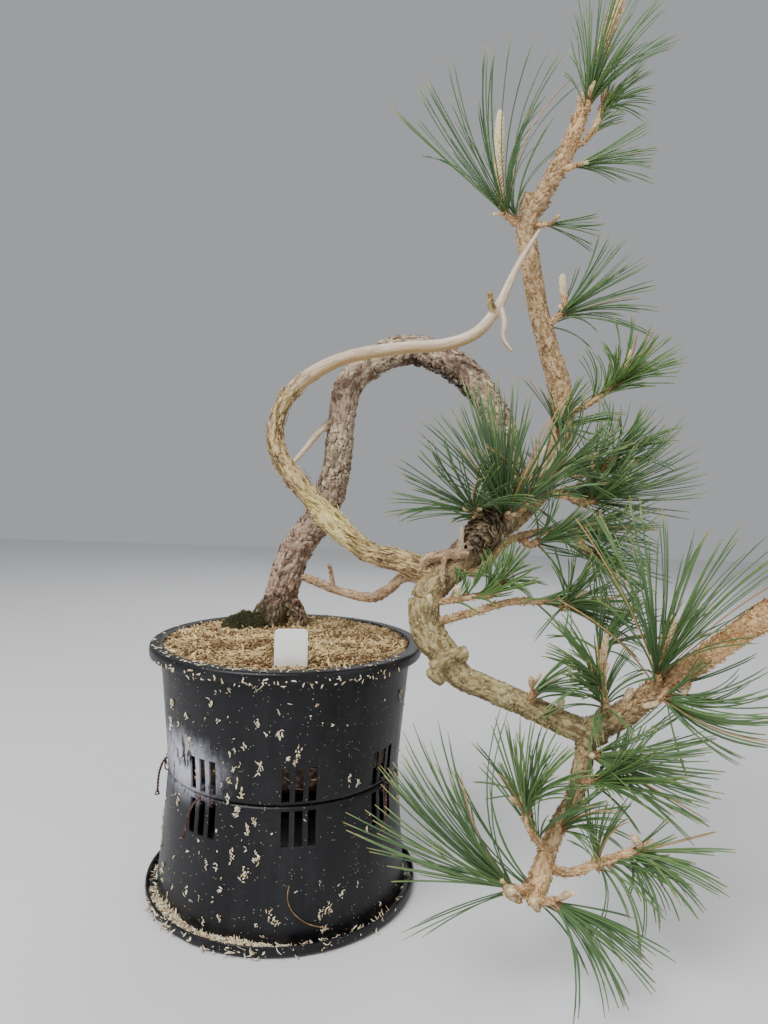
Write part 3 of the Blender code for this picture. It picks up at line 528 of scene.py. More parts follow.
# %% Build the fibre group
def build_fibre_group():
    group, given, result = node_group(
        "long_fibre",
        {"Place": "vector", "Light": (0.7, 0.6, 0.4, 1.0), "Dark": (0.3, 0.2, 0.1, 1.0),
         "Tone": 0.5, "Fineness": 400.0},
        {"Colour": "Color", "Height": "Float", "Grain": "Float"})
    tree = group
    drawn = stretched(tree, given["Place"], (0.09, 1.0, 1.0))
    grain = noise(tree, drawn, given["Fineness"], 5.0, 0.62)
    broad = noise(tree, drawn, 90.0, 3.0, 0.55)
    lean = plus(tree, times(tree, grain, 0.6), times(tree, broad, 0.55))
    offset = maths(tree, "SUBTRACT", given["Tone"], 0.5)
    shifted = plus(tree, lean, times(tree, offset, 0.9))
    share = mask_ramp(tree, shifted, 0.32, 0.78)
    tree.links.new(blend_colour(tree, share, given["Dark"], given["Light"]), result["Colour"])
    tree.links.new(lean, result["Height"])
    tree.links.new(grain, result["Grain"])
    return group


fibre_group = build_fibre_group()
print("fibre group:", len(fibre_group.nodes), "nodes")


# %% Build the flaked bark group
def build_bark_group():
    group, given, result = node_group(
        "flaked_bark",
        {"Place": "vector", "Ridge": 0.5, "Plate": 0.5, "Plate light": (0.5, 0.42, 0.33, 1.0),
         "Plate dark": (0.25, 0.17, 0.13, 1.0), "Broken edge": (0.66, 0.6, 0.5, 1.0),
         "Crack and shade": (0.06, 0.04, 0.03, 1.0)},
        {"Colour": "Color", "Roughness": "Float", "Height": "Float"})
    tree = group
    drawn = stretched(tree, given["Place"], (0.4, 1.0, 1.0))
    scales = noise(tree, drawn, 420.0, 6.0, 0.72)
    patches = noise(tree, given["Place"], 45.0, 4.0, 0.6)
    chip_tone = channel(tree, voronoi(tree, drawn, 330.0))
    tone = plus(tree, times(tree, given["Plate"], 0.45), times(tree, patches, 0.5))
    for part, share in ((chip_tone, 0.28), (scales, 0.7)):
        tone = plus(tree, tone, times(tree, maths(tree, "SUBTRACT", part, 0.5), share))
    body = blend_colour(tree, mask_ramp(tree, tone, 0.28, 0.68), given["Plate dark"], given["Plate light"])
    worn = times(tree, mask_ramp(tree, given["Ridge"], 0.55, 0.95),
            mask_ramp(tree, scales, 0.5, 0.62))
    body = blend_colour(tree, times(tree, worn, 0.75), body, given["Broken edge"])
    # painted shade: deep recesses between plates and the fine cracks between scales take the crack colour,
    # partly the bark's darker ground and partly painted shade
    deep = mask_ramp(tree, given["Ridge"], 0.34, 0.06)
    fissure = mask_ramp(tree, scales, 0.42, 0.33)
    shade = maths(tree, "MAXIMUM", deep, times(tree, fissure, 0.7))
    tree.links.new(blend_colour(tree, shade, body, given["Crack and shade"]), result["Colour"])
    tree.links.new(line(tree, scales, 0.25, 0.68), result["Roughness"])
    tree.links.new(plus(tree, scales, times(tree, chip_tone, 0.25)), result["Height"])
    return group


bark_group = build_bark_group()
print("groups:", [g.name for g in bpy.data.node_groups])

# %% [markdown]
# ## The two nursery pots
# Each pot is one thin moulding of black plastic: a floor, a tapering wall with groups of three drain
# slots round its base, and a rim that rolls outward and hangs down. A turned outline gives the
# moulding, and boxes cut the slots right through, because light and soil show through them. The
# plastic is satin black, scuffed, dusty in drifts, and hazed with dried lime at the left of the waist.


# %% Mix the pot plastic
def make_pot_plastic():
    mat, tree, shader = new_material("scuffed_black_pot", (0.02, 0.02, 0.022))
    place = add(tree, "ShaderNodeVectorMath", {0: object_place(tree), 1: tuple(pot_axis)},
            operation="SUBTRACT").outputs[0]
    film = use_group(tree, film_group, {"Place": place, "Amount": 0.42, "Speck size": 560.0})
    haze_centre = around(-46.0, 0.099, waist + 0.020) - pot_axis
    offset = add(tree, "ShaderNodeVectorMath", {0: place, 1: tuple(haze_centre)},
            operation="SUBTRACT").outputs[0]
    reach = add(tree, "ShaderNodeVectorMath", {0: stretched(tree, offset, (18.0, 18.0, 30.0))},
            operation="LENGTH").outputs["Value"]
    ragged = noise(tree, stretched(tree, place, (1.0, 1.0, 0.4)), 95.0, 6.0, 0.72)
    lime = times(tree, mask_ramp(tree, plus(tree, reach, ragged), 1.55, 0.75),
            mask_ramp(tree, ragged, 0.36, 0.50))
    scratch = noise(tree, stretched(tree, place, (1.0, 1.0, 9.0)), 130.0, 3.0, 0.8)
    scuffs = times(tree, mask_ramp(tree, scratch, 0.62, 0.74), 0.28)
    colour = blend_colour(tree, film["Mask"], (0.0045, 0.0046, 0.0060, 1.0), (0.034, 0.033, 0.037, 1.0))
    colour = blend_colour(tree, scuffs, colour, (0.065, 0.062, 0.062, 1.0))
    colour = blend_colour(tree, times(tree, lime, 0.85), colour, (0.60, 0.61, 0.70, 1.0))
    colour = blend_colour(tree, film["Specks"], colour, (0.62, 0.56, 0.44, 1.0))
    rough = line(tree, film["Mask"], 0.35, 0.34)
    rough = plus(tree, rough, times(tree, lime, 0.3), clamp=True)
    finish_surface(tree, shader, colour, rough, film["Height"], 0.00025, 0.5)
    shader.inputs["IOR"].default_value = 1.49
    shader.inputs["Specular IOR Level"].default_value = 0.30
    return mat


pot_plastic = make_pot_plastic()
print("pot plastic:", len(pot_plastic.node_tree.nodes), "nodes")

# %% Turn the pot outline
WALL = 0.0018
RIM_OVERHANG = 0.0095
WALL_TAPER = 0.0072
WALL_TOP = rim_radius - RIM_OVERHANG
BASE = WALL_TOP - WALL_TAPER
LIP_DROP = 0.009
SLOT_WIDTH = 0.006
SLOT_HEIGHT = 0.026
SLOT_PITCH = 0.010
SLOT_LIFT = 0.0033
SLOT_GROUPS = 8
FIRST_GROUP = 13.5
TURNS = 168


def arc(centre_r, centre_z, radius, first, last, steps):
    turn = np.radians(np.linspace(first, last, steps))
    return [(centre_r + radius * math.cos(t), centre_z + radius * math.sin(t)) for t in turn]


def pot_outline():
    """(radius, height) from the middle of the underside round the wall and rim to the inside."""
    r = rim_radius
    h = pot_height
    line = [(0.004, 0.0), (BASE * 0.4, 0.0), (BASE * 0.8, 0.0)]
    line += arc(BASE - 0.003, 0.003, 0.003, -90, -4, 6)
    for t in np.linspace(0.06, 0.97, 12):
        flare = 0.0004 * math.sin(math.pi * t)
        step = 0.00022 if t > 0.38 else 0.0
        line.append((BASE + (WALL_TOP - BASE) * t - flare + step, 0.003 + (h - 0.012) * t))
    line += [(WALL_TOP - 0.0002, h - 0.0055)]
    line += arc(WALL_TOP + 0.0022, h - 0.0042, 0.0022, 178, 96, 4)
    line += [(r - 0.0046, h - 0.0022)]
    line += arc(r - 0.0042, h - 0.0046, 0.0022, 80, 8, 4)
    line += [(r - 0.0019, h - LIP_DROP + 0.0006)]
    line += arc(r - 0.0009, h - LIP_DROP + 0.0007, 0.0008, 200, 350, 5)
    line += [(r, h - 0.0052), (r - 0.0001, h - 0.0036)]
    line += arc(r - 0.0032, h - 0.0032, 0.0031, 5, 88, 6)
    line += [(WALL_TOP + 0.0018, h)]
    line += arc(WALL_TOP + 0.0006, h - 0.0022, 0.0024, 92, 176, 4)
    line += [(WALL_TOP - WALL, h - 0.008), (BASE - WALL + 0.0003, 0.006)]
    line += arc(BASE - WALL - 0.0022, 0.0040, 0.0024, -4, -86, 4)
    line += [(BASE * 0.8, WALL), (BASE * 0.4, WALL), (0.004, WALL)]
    return line


def turned(outline, turns):
    """Spin a closed outline about the pot axis; the hole at the middle stays open."""
    line = np.array(outline)
    turn = np.arange(turns) * 2.0 * math.pi / turns
    points = np.stack([line[:, None, 0] * np.cos(turn), line[:, None, 0] * np.sin(turn),
            np.repeat(line[:, 1:2], turns, axis=1)], axis=2)
    i = np.arange(len(line))[:, None]
    j = np.arange(turns)[None]
    up = (i + 1) % len(line)
    on = (j + 1) % turns
    faces = np.stack([i * turns + j, i * turns + on, up * turns + on, up * turns + j], axis=2)
    return points.reshape(-1, 3), faces.reshape(-1, 4)


def carve(obj, boxes):
    """Cut a batch of eight-cornered boxes out of an object and settle the result."""
    points = np.concatenate(boxes)
    sides = np.array([(0, 1, 3, 2), (4, 6, 7, 5), (0, 4, 5, 1), (2, 3, 7, 6), (0, 2, 6, 4), (1, 5, 7, 3)])
    faces = np.concatenate([sides + 8 * n for n in range(len(boxes))])
    mesh = bpy.data.meshes.new("slot_boxes")
    mesh.from_pydata(points.tolist(), [], faces.tolist())
    cutter = bpy.data.objects.new("slot_boxes", mesh)
    show(cutter)
    mod = obj.modifiers.new("slots", "BOOLEAN")
    mod.operation = "DIFFERENCE"
    mod.object = cutter
    bpy.context.view_layer.update()
    graph = bpy.context.evaluated_depsgraph_get()
    done = bpy.data.meshes.new_from_object(obj.evaluated_get(graph))
    obj.modifiers.clear()
    obj.data = done
    bpy.data.objects.remove(cutter, do_unlink=True)


def box_corners(low, high, turn):
    corners = np.array(list(itertools.product((low[0], high[0]), (low[1], high[1]), (low[2], high[2]))))
    c = math.cos(turn)
    s = math.sin(turn)
    spin = np.array([[c, -s, 0.0], [s, c, 0.0], [0.0, 0.0, 1.0]])
    return corners @ spin.T


def slot_turns():
    """The turn of every slot, in radians from +X."""
    step = math.degrees(SLOT_PITCH / BASE)
    return [math.radians(FIRST_GROUP + 360.0 / SLOT_GROUPS * group + slot * step - 90.0)
            for group in range(SLOT_GROUPS) for slot in (-1, 0, 1)]


def make_pot(name, node, base_height, way):
    points, faces = turned(pot_outline(), TURNS)
    if way > 0:
        faces = faces[:, ::-1]
    points[:, 2] = base_height + way * points[:, 2]
    pot = make_piece(name, points + pot_axis, faces[:, ::-1], pot_plastic, [node])
    cut_reach = 0.008
    low = (BASE - cut_reach, -SLOT_WIDTH / 2, SLOT_LIFT)
    high = (BASE + cut_reach, SLOT_WIDTH / 2, SLOT_LIFT + SLOT_HEIGHT)
    boxes = []
    for turn in slot_turns():
        corners = box_corners(low, high, turn)
        corners[:, 2] = base_height + way * corners[:, 2]
        boxes.append((corners if way > 0 else corners[[4, 5, 6, 7, 0, 1, 2, 3]]) + pot_axis)
    carve(pot, boxes)
    pot.data.set_sharp_from_angle(angle=math.radians(42.0))
    return pot


upper_pot = make_pot("pot_with_the_tree", "upper_pot", upper_low.z, 1)
lower_pot = make_pot("upturned_stand_pot", "lower_pot", lower_high.z, -1)
print("pots:", len(upper_pot.data.polygons), len(lower_pot.data.polygons), "faces")

# %% [markdown]
# ## Potting mix
# Behind the slots of the upper pot one sees damp dark mix, grit and fine roots. It is a lumpy turned
# solid a little inside the wall, with root strands lying on its side.


# %% Mix the soil and root finishes
def make_mix_finish():
    mat, tree, shader = new_material("damp_potting_mix", (0.08, 0.05, 0.035))
    place = object_place(tree)
    lumps = voronoi(tree, place, 260.0)
    tint = channel(tree, lumps)
    grit = noise(tree, place, 900.0, 4.0, 0.7)
    tone = plus(tree, times(tree, tint, 0.6), times(tree, grit, 0.5))
    colour = ramp(tree, tone, [(0.2, (0.012, 0.008, 0.006)), (0.5, (0.06, 0.036, 0.024)),
            (0.8, (0.16, 0.1, 0.06)), (0.97, (0.34, 0.27, 0.18))])
    height = maths(tree, "SUBTRACT", grit, lumps.outputs["Distance"])
    finish_surface(tree, shader, colour, line(tree, grit, 0.3, 0.6), height, 0.0008, 0.8)
    return mat


def make_strand_finish(name, light, dark):
    """A fibrous finish for thin strands, toned by each strand's own number."""
    mat, tree, shader = new_material(name, light[:3])
    tone = kept(tree, "tone")
    grain = use_group(tree, fibre_group, {"Place": kept(tree, "drawn", "Vector"), "Light": light,
            "Dark": dark, "Tone": tone, "Fineness": 700.0})
    rough = line(tree, grain["Grain"], 0.25, 0.6)
    finish_surface(tree, shader, grain["Colour"], rough, grain["Height"], 0.00015, 0.7)
    return mat


potting_finish = make_mix_finish()
root_finish = make_strand_finish("fine_roots", (0.42, 0.27, 0.15, 1.0), (0.16, 0.08, 0.04, 1.0))
print("finishes:", potting_finish.name, root_finish.name)

# %% Turn the lumpy soil body and lay roots on its side
rng = np.random.default_rng(151)
soil_low, soil_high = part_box("soil_mix")
soil_height = soil_high.z - soil_low.z
soil_line = [(0.002, 0.0), (0.05, 0.0), (0.082, 0.0)]
for t in np.linspace(0.0, 1.0, 34):
    swell = min(1.0, 0.90 + 0.9 * t)
    soil_line.append(((BASE - WALL - 0.0026 + 0.0062 * t) * swell, 0.001 + t * (soil_height - 0.002)))
soil_line += [(0.08, soil_height), (0.002, soil_height)]
soil_points, soil_faces = turned(soil_line, 210)
lump = soft_field(soil_points * 210.0, 3) + 0.6 * soft_field(soil_points * 520.0, 4)
side_out = unit(soil_points * np.array([1.0, 1.0, 0.0]))
soil_points = soil_points - side_out * (0.0020 * (1.0 - lump / 1.6))[:, None]
soil_points[:, 2] += soil_low.z
make_piece("packed_potting_mix", soil_points + pot_axis, soil_faces, potting_finish,
        ["soil_mix"])
print("soil height", round(soil_height, 4), "faces", len(soil_faces))


def strand_batch(paths, radius, sides=5):
    """Thin tubes along paths (strand, ring, xyz), each with its own tone."""
    rings = paths.shape[1]
    taper = np.linspace(1.0, 0.45, rings)[None] * radius[:, None]
    points, faces, travel = tubes(paths, taper, sides)
    each = rings * sides + 2
    tone = np.repeat(rng.random(len(paths)), each)
    drawn = np.stack([travel * 0.02, points[:, 0], points[:, 2]], axis=1)
    return points, faces, {"tone": tone, "drawn": drawn}


root_count = 220
root_turn = rng.random(root_count) * 2.0 * math.pi
root_z = soil_low.z + rng.uniform(0.006, 0.045, root_count)
heading = rng.uniform(-1.0, 1.0, (root_count, 1)) * 1.2 + rng.normal(0.0, 0.35, (root_count, 9))
angles = root_turn[:, None] + np.cumsum(np.cos(heading) * 0.018, axis=1)
heights = root_z[:, None] + np.cumsum(np.sin(heading) * 0.0016, axis=1)
depth = BASE - WALL - 0.0020 + 0.0062 * (heights - soil_low.z) / soil_height
root_paths = np.stack([depth * np.cos(angles), depth * np.sin(angles), heights], axis=2) + pot_axis
points, faces, fields = strand_batch(root_paths, rng.uniform(0.00025, 0.0006, root_count))
make_piece("roots_in_the_mix", points, faces, root_finish, fields=fields)
print("roots on the side of the mix:", root_count)

# %% [markdown]
# ## Top dressing
# The mix is covered with chopped dry moss and husk: thousands of straw-coloured flakes, from cream
# to brown, lying at all angles and heaped a little above the rim. A lumpy bed carries the colour in
# the gaps, and the flakes themselves are real strips scattered over it.

# %% Finish for husk and shreds
husk_finish = make_strand_finish("dry_husk", (0.78, 0.59, 0.29, 1.0), (0.17, 0.09, 0.032, 1.0))
shred_finish = make_strand_finish("pale_shreds", (0.88, 0.80, 0.60, 1.0), (0.52, 0.38, 0.20, 1.0))
dressing_low, dressing_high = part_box("top_dressing")
crown = spot(-17, 48, 0)
print("dressing from", round(dressing_low.z, 4), "to", round(dressing_high.z, 4))


def dressing_top(x, y):
    """Height of the dressing at a place measured from the pot axis, in metres."""
    r = np.hypot(x, y)
    mound = 0.0056 * (1.0 - np.clip(r / WALL_TOP, 0.0, 1.0) ** 2)
    places = np.stack([x, y, np.zeros_like(x)], axis=-1).reshape(-1, 3)
    waves = soft_field(places * 55.0, 11).reshape(np.shape(x)) * 0.0022
    return rim_plane - 0.0040 + mound + waves


# %% Lay the bed and scatter the flakes
bed_rings = 60
bed_turns = 180
bed_r = np.linspace(0.0015, WALL_TOP - WALL - 0.0006, bed_rings)
bed_turn = np.arange(bed_turns) * 2.0 * math.pi / bed_turns
bed_x = bed_r[:, None] * np.cos(bed_turn)
bed_y = bed_r[:, None] * np.sin(bed_turn)
bed_z = dressing_top(bed_x, bed_y) - 0.0012
bed_points = np.stack([bed_x, bed_y, bed_z], axis=2).reshape(-1, 3)
bed_points[:, 2] += 0.0012 * (soft_field(bed_points * 420.0, 12) - 0.5)


def sheet_faces(rows, columns, closed):
    """Four-cornered faces between the rows of a sheet of points, closed round or open."""
    i = np.arange(rows - 1)[:, None] * columns
    j = np.arange(columns if closed else columns - 1)[None]
    on = (j + 1) % columns
    return np.stack([i + j, i + columns + j, i + columns + on, i + on], axis=2).reshape(-1, 4)


bed_faces = sheet_faces(bed_rings, bed_turns, True)
under = bed_points.copy()
under[:, 2] = dressing_low.z + 0.0003
edge = np.arange(bed_turns)
after = (edge + 1) % bed_turns
below = len(bed_points)
rim = (bed_rings - 1) * bed_turns
wall_faces = np.stack([rim + edge, below + rim + edge, below + rim + after, rim + after], axis=1)
inner_faces = np.stack([edge, after, below + after, below + edge], axis=1)
bed_all = np.concatenate([bed_points, under])
bed_faces = np.concatenate([bed_faces, bed_faces[:, ::-1] + below, wall_faces, inner_faces])
print("bed faces", len(bed_faces))


def make_bed_finish():
    mat, tree, shader = new_material("husk_bed", (0.3, 0.22, 0.13))
    place = object_place(tree)
    chop = voronoi(tree, place, 420.0)
    tint = channel(tree, chop, 1)
    damp = noise(tree, place, 40.0, 4.0, 0.6)
    tone = plus(tree, times(tree, tint, 0.55), times(tree, damp, 0.45))
    colour = ramp(tree, tone, [(0.15, (0.07, 0.038, 0.018)), (0.5, (0.25, 0.16, 0.08)),
            (0.85, (0.5, 0.38, 0.2))])
    finish_surface(tree, shader, colour, line(tree, tint, 0.2, 0.75), chop.outputs["Distance"], 0.0008, 0.9)
    return mat


make_piece("husk_bed_piece", bed_all + pot_axis, bed_faces, make_bed_finish(),
        ["top_dressing"])


def scatter_flakes(name, places, normals, along, length, width, mat, tone, curl):
    """Flakes of straw or shred as one piece; length, width (metres) and curl are ranges."""
    count = len(places)
    points, faces = flakes(places, along, normals, rng.uniform(*length, count), rng.uniform(*width, count),
            rng.uniform(0.0002, 0.0005, count), rng.uniform(*curl, count))
    points[:, 2] = np.maximum(points[:, 2], 0.0)
    each = FLAKE_STEPS * 4
    tones = np.repeat(np.clip(rng.normal(tone, 0.24, count), 0.0, 1.0), each)
    shift = np.repeat(rng.random((count, 3)), each, axis=0)
    run = np.tile(np.repeat(np.linspace(0.0, 0.01, FLAKE_STEPS), 4), count)
    drawn = np.stack([run, points[:, 0], points[:, 1]], axis=1) + shift
    make_piece(name, points, faces, mat, fields={"tone": tones, "drawn": drawn})


flake_count = 11500
flake_r = (WALL_TOP - WALL - 0.0008) * np.sqrt(rng.random(flake_count))
flake_turn = rng.random(flake_count) * 2.0 * math.pi
flake_x = flake_r * np.cos(flake_turn)
flake_y = flake_r * np.sin(flake_turn)
near_crown = np.hypot(flake_x + pot_axis[0] - crown[0], flake_y + pot_axis[1] - crown[1]) < 0.019
flake_x = flake_x[~near_crown]
flake_y = flake_y[~near_crown]
flake_places = np.stack([flake_x, flake_y, dressing_top(flake_x, flake_y)
        + rng.uniform(-0.0010, 0.0014, len(flake_x))], axis=1) + pot_axis
UP = np.array([0.0, 0.0, 1.0])
flake_normals = unit(rng.normal(0.0, 0.32, (len(flake_x), 3)) + UP)
flake_along = unit(rng.normal(0.0, 1.0, (len(flake_x), 3)) * np.array([1.0, 1.0, 0.3]))
flake_patch = 0.45 + 0.85 * (soft_field((flake_places - pot_axis) * 60.0, 14) - 0.5)
scatter_flakes("husk_flakes", flake_places, flake_normals, flake_along, (0.0022, 0.0100),
        (0.0007, 0.0028), husk_finish, flake_patch, (-0.15, 0.45))
print("husk flakes", len(flake_x))

# %% [markdown]
# ## Shreds stuck to the pots
# Watering has splashed pale shreds of the dressing over the pots. They cling singly and in small
# clumps to the wall, line the rolled rim, and lie heaped on the ledge of the lower rim at the front
# left. Each one is a small curled flake laid flat on the surface it clings to.


# %% Find the wall surface at any height, and cast the shreds
def wall_radius(z):
    """Outer radius of whichever pot's wall is at height z."""
    from_base = np.abs(z - waist)
    return BASE + (WALL_TOP - BASE) * np.clip((from_base - 0.003) / (pot_height - 0.012), 0.0, 1.0)


def round_the_pot(angle, radius, z):
    """Places by angle from the front (degrees), radius and height, and the way outward there."""
    turn = np.radians(angle - 90.0)
    out = np.stack([np.cos(turn), np.sin(turn), np.zeros(len(turn))], axis=1)
    return out * radius[:, None] + pot_axis + UP * z[:, None], out


clump_count = 190
front = rng.normal(-14.0, 34.0, int(clump_count * 0.66))
all_round = rng.uniform(-180.0, 180.0, clump_count - len(front))
clump_angle = np.concatenate([front, all_round])
clump_z = rng.uniform(0.012, rim_plane - 0.012, clump_count)
members = rng.integers(4, 13, clump_count)
members = np.where(rng.random(clump_count) < 0.60, rng.integers(1, 3, clump_count), members)
crowd = np.sqrt(np.repeat(members, members) / 12.0)
shred_angle = np.repeat(clump_angle, members) + rng.normal(0.0, 0.75, members.sum()) * crowd
shred_z = np.repeat(clump_z, members) + rng.normal(0.0, 0.0026, members.sum()) * crowd
shred_z = np.clip(shred_z, 0.0115, rim_plane - 0.0105)
shred_r = wall_radius(shred_z) + 0.0002 + rng.random(len(shred_z)) * 0.0009 * crowd
shred_turn = np.radians(shred_angle - 90.0)
shred_places, outward = round_the_pot(shred_angle, shred_r, shred_z)
hang = rng.normal(0.0, 0.8, (len(shred_r), 3)) + UP
in_slots = np.zeros(len(shred_r), bool)
for turn in slot_turns():
    apart = np.abs((shred_turn - turn + math.pi) % (2.0 * math.pi) - math.pi) * BASE
    in_slots |= (apart < 0.0042) & (np.abs(np.abs(shred_z - waist) - SLOT_LIFT - SLOT_HEIGHT / 2) < 0.014)
keep = ~in_slots
outward = unit(outward + rng.normal(0.0, 0.35, outward.shape))
scatter_flakes("shreds_on_the_wall", shred_places[keep], outward[keep], hang[keep], (0.0010, 0.0044),
        (0.0004, 0.0014), shred_finish, 0.62, (-0.2, 0.6))

rim_count = 210
rim_angle = np.where(rng.random(rim_count) < 0.7, rng.normal(-18.0, 42.0, rim_count),
        rng.uniform(-180.0, 180.0, rim_count))
on_top = rng.random(rim_count) < 0.45
rim_r = np.where(on_top, rng.uniform(WALL_TOP + 0.001, rim_radius - 0.002, rim_count), rim_radius + 0.0002)
rim_z = np.where(on_top, rim_plane + 0.0003, rim_plane - rng.uniform(0.004, 0.0105, rim_count))
rim_places, rim_out = round_the_pot(rim_angle, rim_r, rim_z)
rim_normals = np.where(on_top[:, None], UP, rim_out)
scatter_flakes("shreds_on_the_rim", rim_places, rim_normals, rng.normal(0.0, 1.0, (rim_count, 3)),
        (0.0012, 0.0046), (0.0005, 0.0013), shred_finish, 0.58, (-0.2, 0.6))

heap_count = 900
heap_angle = np.concatenate([rng.normal(-47.0, 9.0, 330), rng.normal(-12.0, 14.0, 330),
        rng.uniform(-95.0, 60.0, 150), rng.uniform(-180.0, 180.0, 90)])
heap_r = WALL_TOP + np.abs(rng.normal(0.0012, 0.0046, heap_count))
heap_rise = (0.006 * np.exp(-((heap_angle + 47.0) / 12.0) ** 2)
        + 0.003 * np.exp(-((heap_angle + 12.0) / 14.0) ** 2))
over_edge = heap_r > rim_radius - 0.0005
heap_z = np.where(over_edge, rng.uniform(0.0012, 0.008, heap_count),
        0.0028 + rng.random(heap_count) * (0.0016 + heap_rise) + 0.0010)
heap_r = np.minimum(heap_r, rim_radius + 0.0014)
heap_places = round_the_pot(heap_angle, heap_r, heap_z)[0]
heap_normals = unit(rng.normal(0.0, 0.5, (heap_count, 3)) + UP)
heap_along = rng.normal(0.0, 1.0, (heap_count, 3))
scatter_flakes("shreds_heaped_on_the_ledge", heap_places, heap_normals, heap_along, (0.002, 0.0085),
        (0.0006, 0.0018), shred_finish, 0.60, (-0.3, 0.8))
print("shreds:", int(keep.sum()), "on the wall,", rim_count, "on the rim,", heap_count, "on the ledge")

# %% [markdown]
# ## The routes of the limbs
# The trunk climbs, loops over and falls past the rim. Every limb is a list of stops in millimetres
# from the pot axis: x, y, z and radius, as in the frame. Palettes are pairs of colours, the pale face
# of a bark plate and its darker ground, with the depth of the plates in millimetres. A limb names
# the palette at a few of its stops and drifts from one to the next.

# %% Name the bark palettes
PALETTES = {
    "damp_foot": ((0.22, 0.13, 0.08), (0.050, 0.030, 0.020), 1.9),
    "pink_bark": ((0.50, 0.37, 0.27), (0.18, 0.105, 0.078), 1.0),
    "old_bark": ((0.54, 0.46, 0.31), (0.20, 0.135, 0.092), 1.15),
    "arch_bark": ((0.50, 0.37, 0.27), (0.16, 0.085, 0.065), 1.4),
    "knob_bark": ((0.33, 0.23, 0.13), (0.060, 0.036, 0.022), 2.6),
    "cascade_bark": ((0.45, 0.37, 0.18), (0.19, 0.135, 0.060), 0.7),
    "leader_bark": ((0.60, 0.42, 0.23), (0.29, 0.175, 0.085), 0.5),
    "young_bark": ((0.80, 0.55, 0.29), (0.50, 0.28, 0.12), 0.45),
    "streak_bark": ((0.60, 0.45, 0.22), (0.19, 0.115, 0.050), 0.65),
    "split_bark": ((0.72, 0.62, 0.27), (0.50, 0.38, 0.13), 0.25),
    "twig_bark": ((0.54, 0.38, 0.23), (0.30, 0.185, 0.11), 0.35),
    "spur_bark": ((0.46, 0.33, 0.18), (0.22, 0.14, 0.07), 0.4),
}
# each limb: stops, {stop number: palette}, {stop number: bleached share}, plate length and width in mm
TRUNK = [
    (-17, 48, 181, 20), (-17, 48, 196, 20), (-17, 48, 211, 20.3), (-16, 48, 226, 15.6),
    (-10, 46, 255, 14.4), (0, 44, 283, 13.4), (17, 42, 308, 13.3), (30, 40, 336, 13.3),
    (36, 40, 370, 12.3), (38, 41, 403, 11.8), (44, 42, 434, 12.7), (65, 44, 456, 13.2),
    (94, 44, 467, 13.2), (126, 38, 460, 13.6), (152, 30, 442, 13.4), (173, 20, 413, 13.2),
    (183, 8, 381, 12.1), (185, -4, 352, 11.5), (177, -15, 325, 12.8), (163, -24, 305, 14.1),
    (144, -30, 285, 13.1), (124, -34, 266, 11.8), (114, -38, 248, 12.2), (118, -42, 227, 12.9),
    (132, -48, 209, 12.0), (145, -52, 194, 10.5), (167, -58, 186, 9.5), (194, -66, 177, 9.4),
    (219, -74, 168, 9.2), (241, -80, 161, 10.0), (250, -83, 164, 8.6),
]
TRUNK_TONES = {0: "damp_foot", 3: "damp_foot", 4: "pink_bark", 6: "pink_bark", 8: "old_bark",
        9: "pink_bark", 11: "old_bark", 13: "arch_bark", 15: "old_bark", 18: "old_bark",
        20: "spur_bark", 22: "cascade_bark", 30: "cascade_bark"}
THIN_BRANCH = [
    (128, -31, 270, 9.6), (96, -24, 281, 9.4), (67, -18, 288, 8.6), (38, -6, 310, 9.6),
    (8, 6, 340, 8.4), (-13, 12, 366, 7.6), (-17, 15, 394, 6.7), (-7, 14, 419, 6.6),
    (14, 12, 439, 6.4), (46, 10, 454, 5.6), (89, 8, 462, 5.3), (127, 6, 466, 5.2),
    (154, 6, 477, 5.0), (172, 8, 500, 4.4), (187, 10, 534, 3.0), (206, 12, 568, 1.5),
]
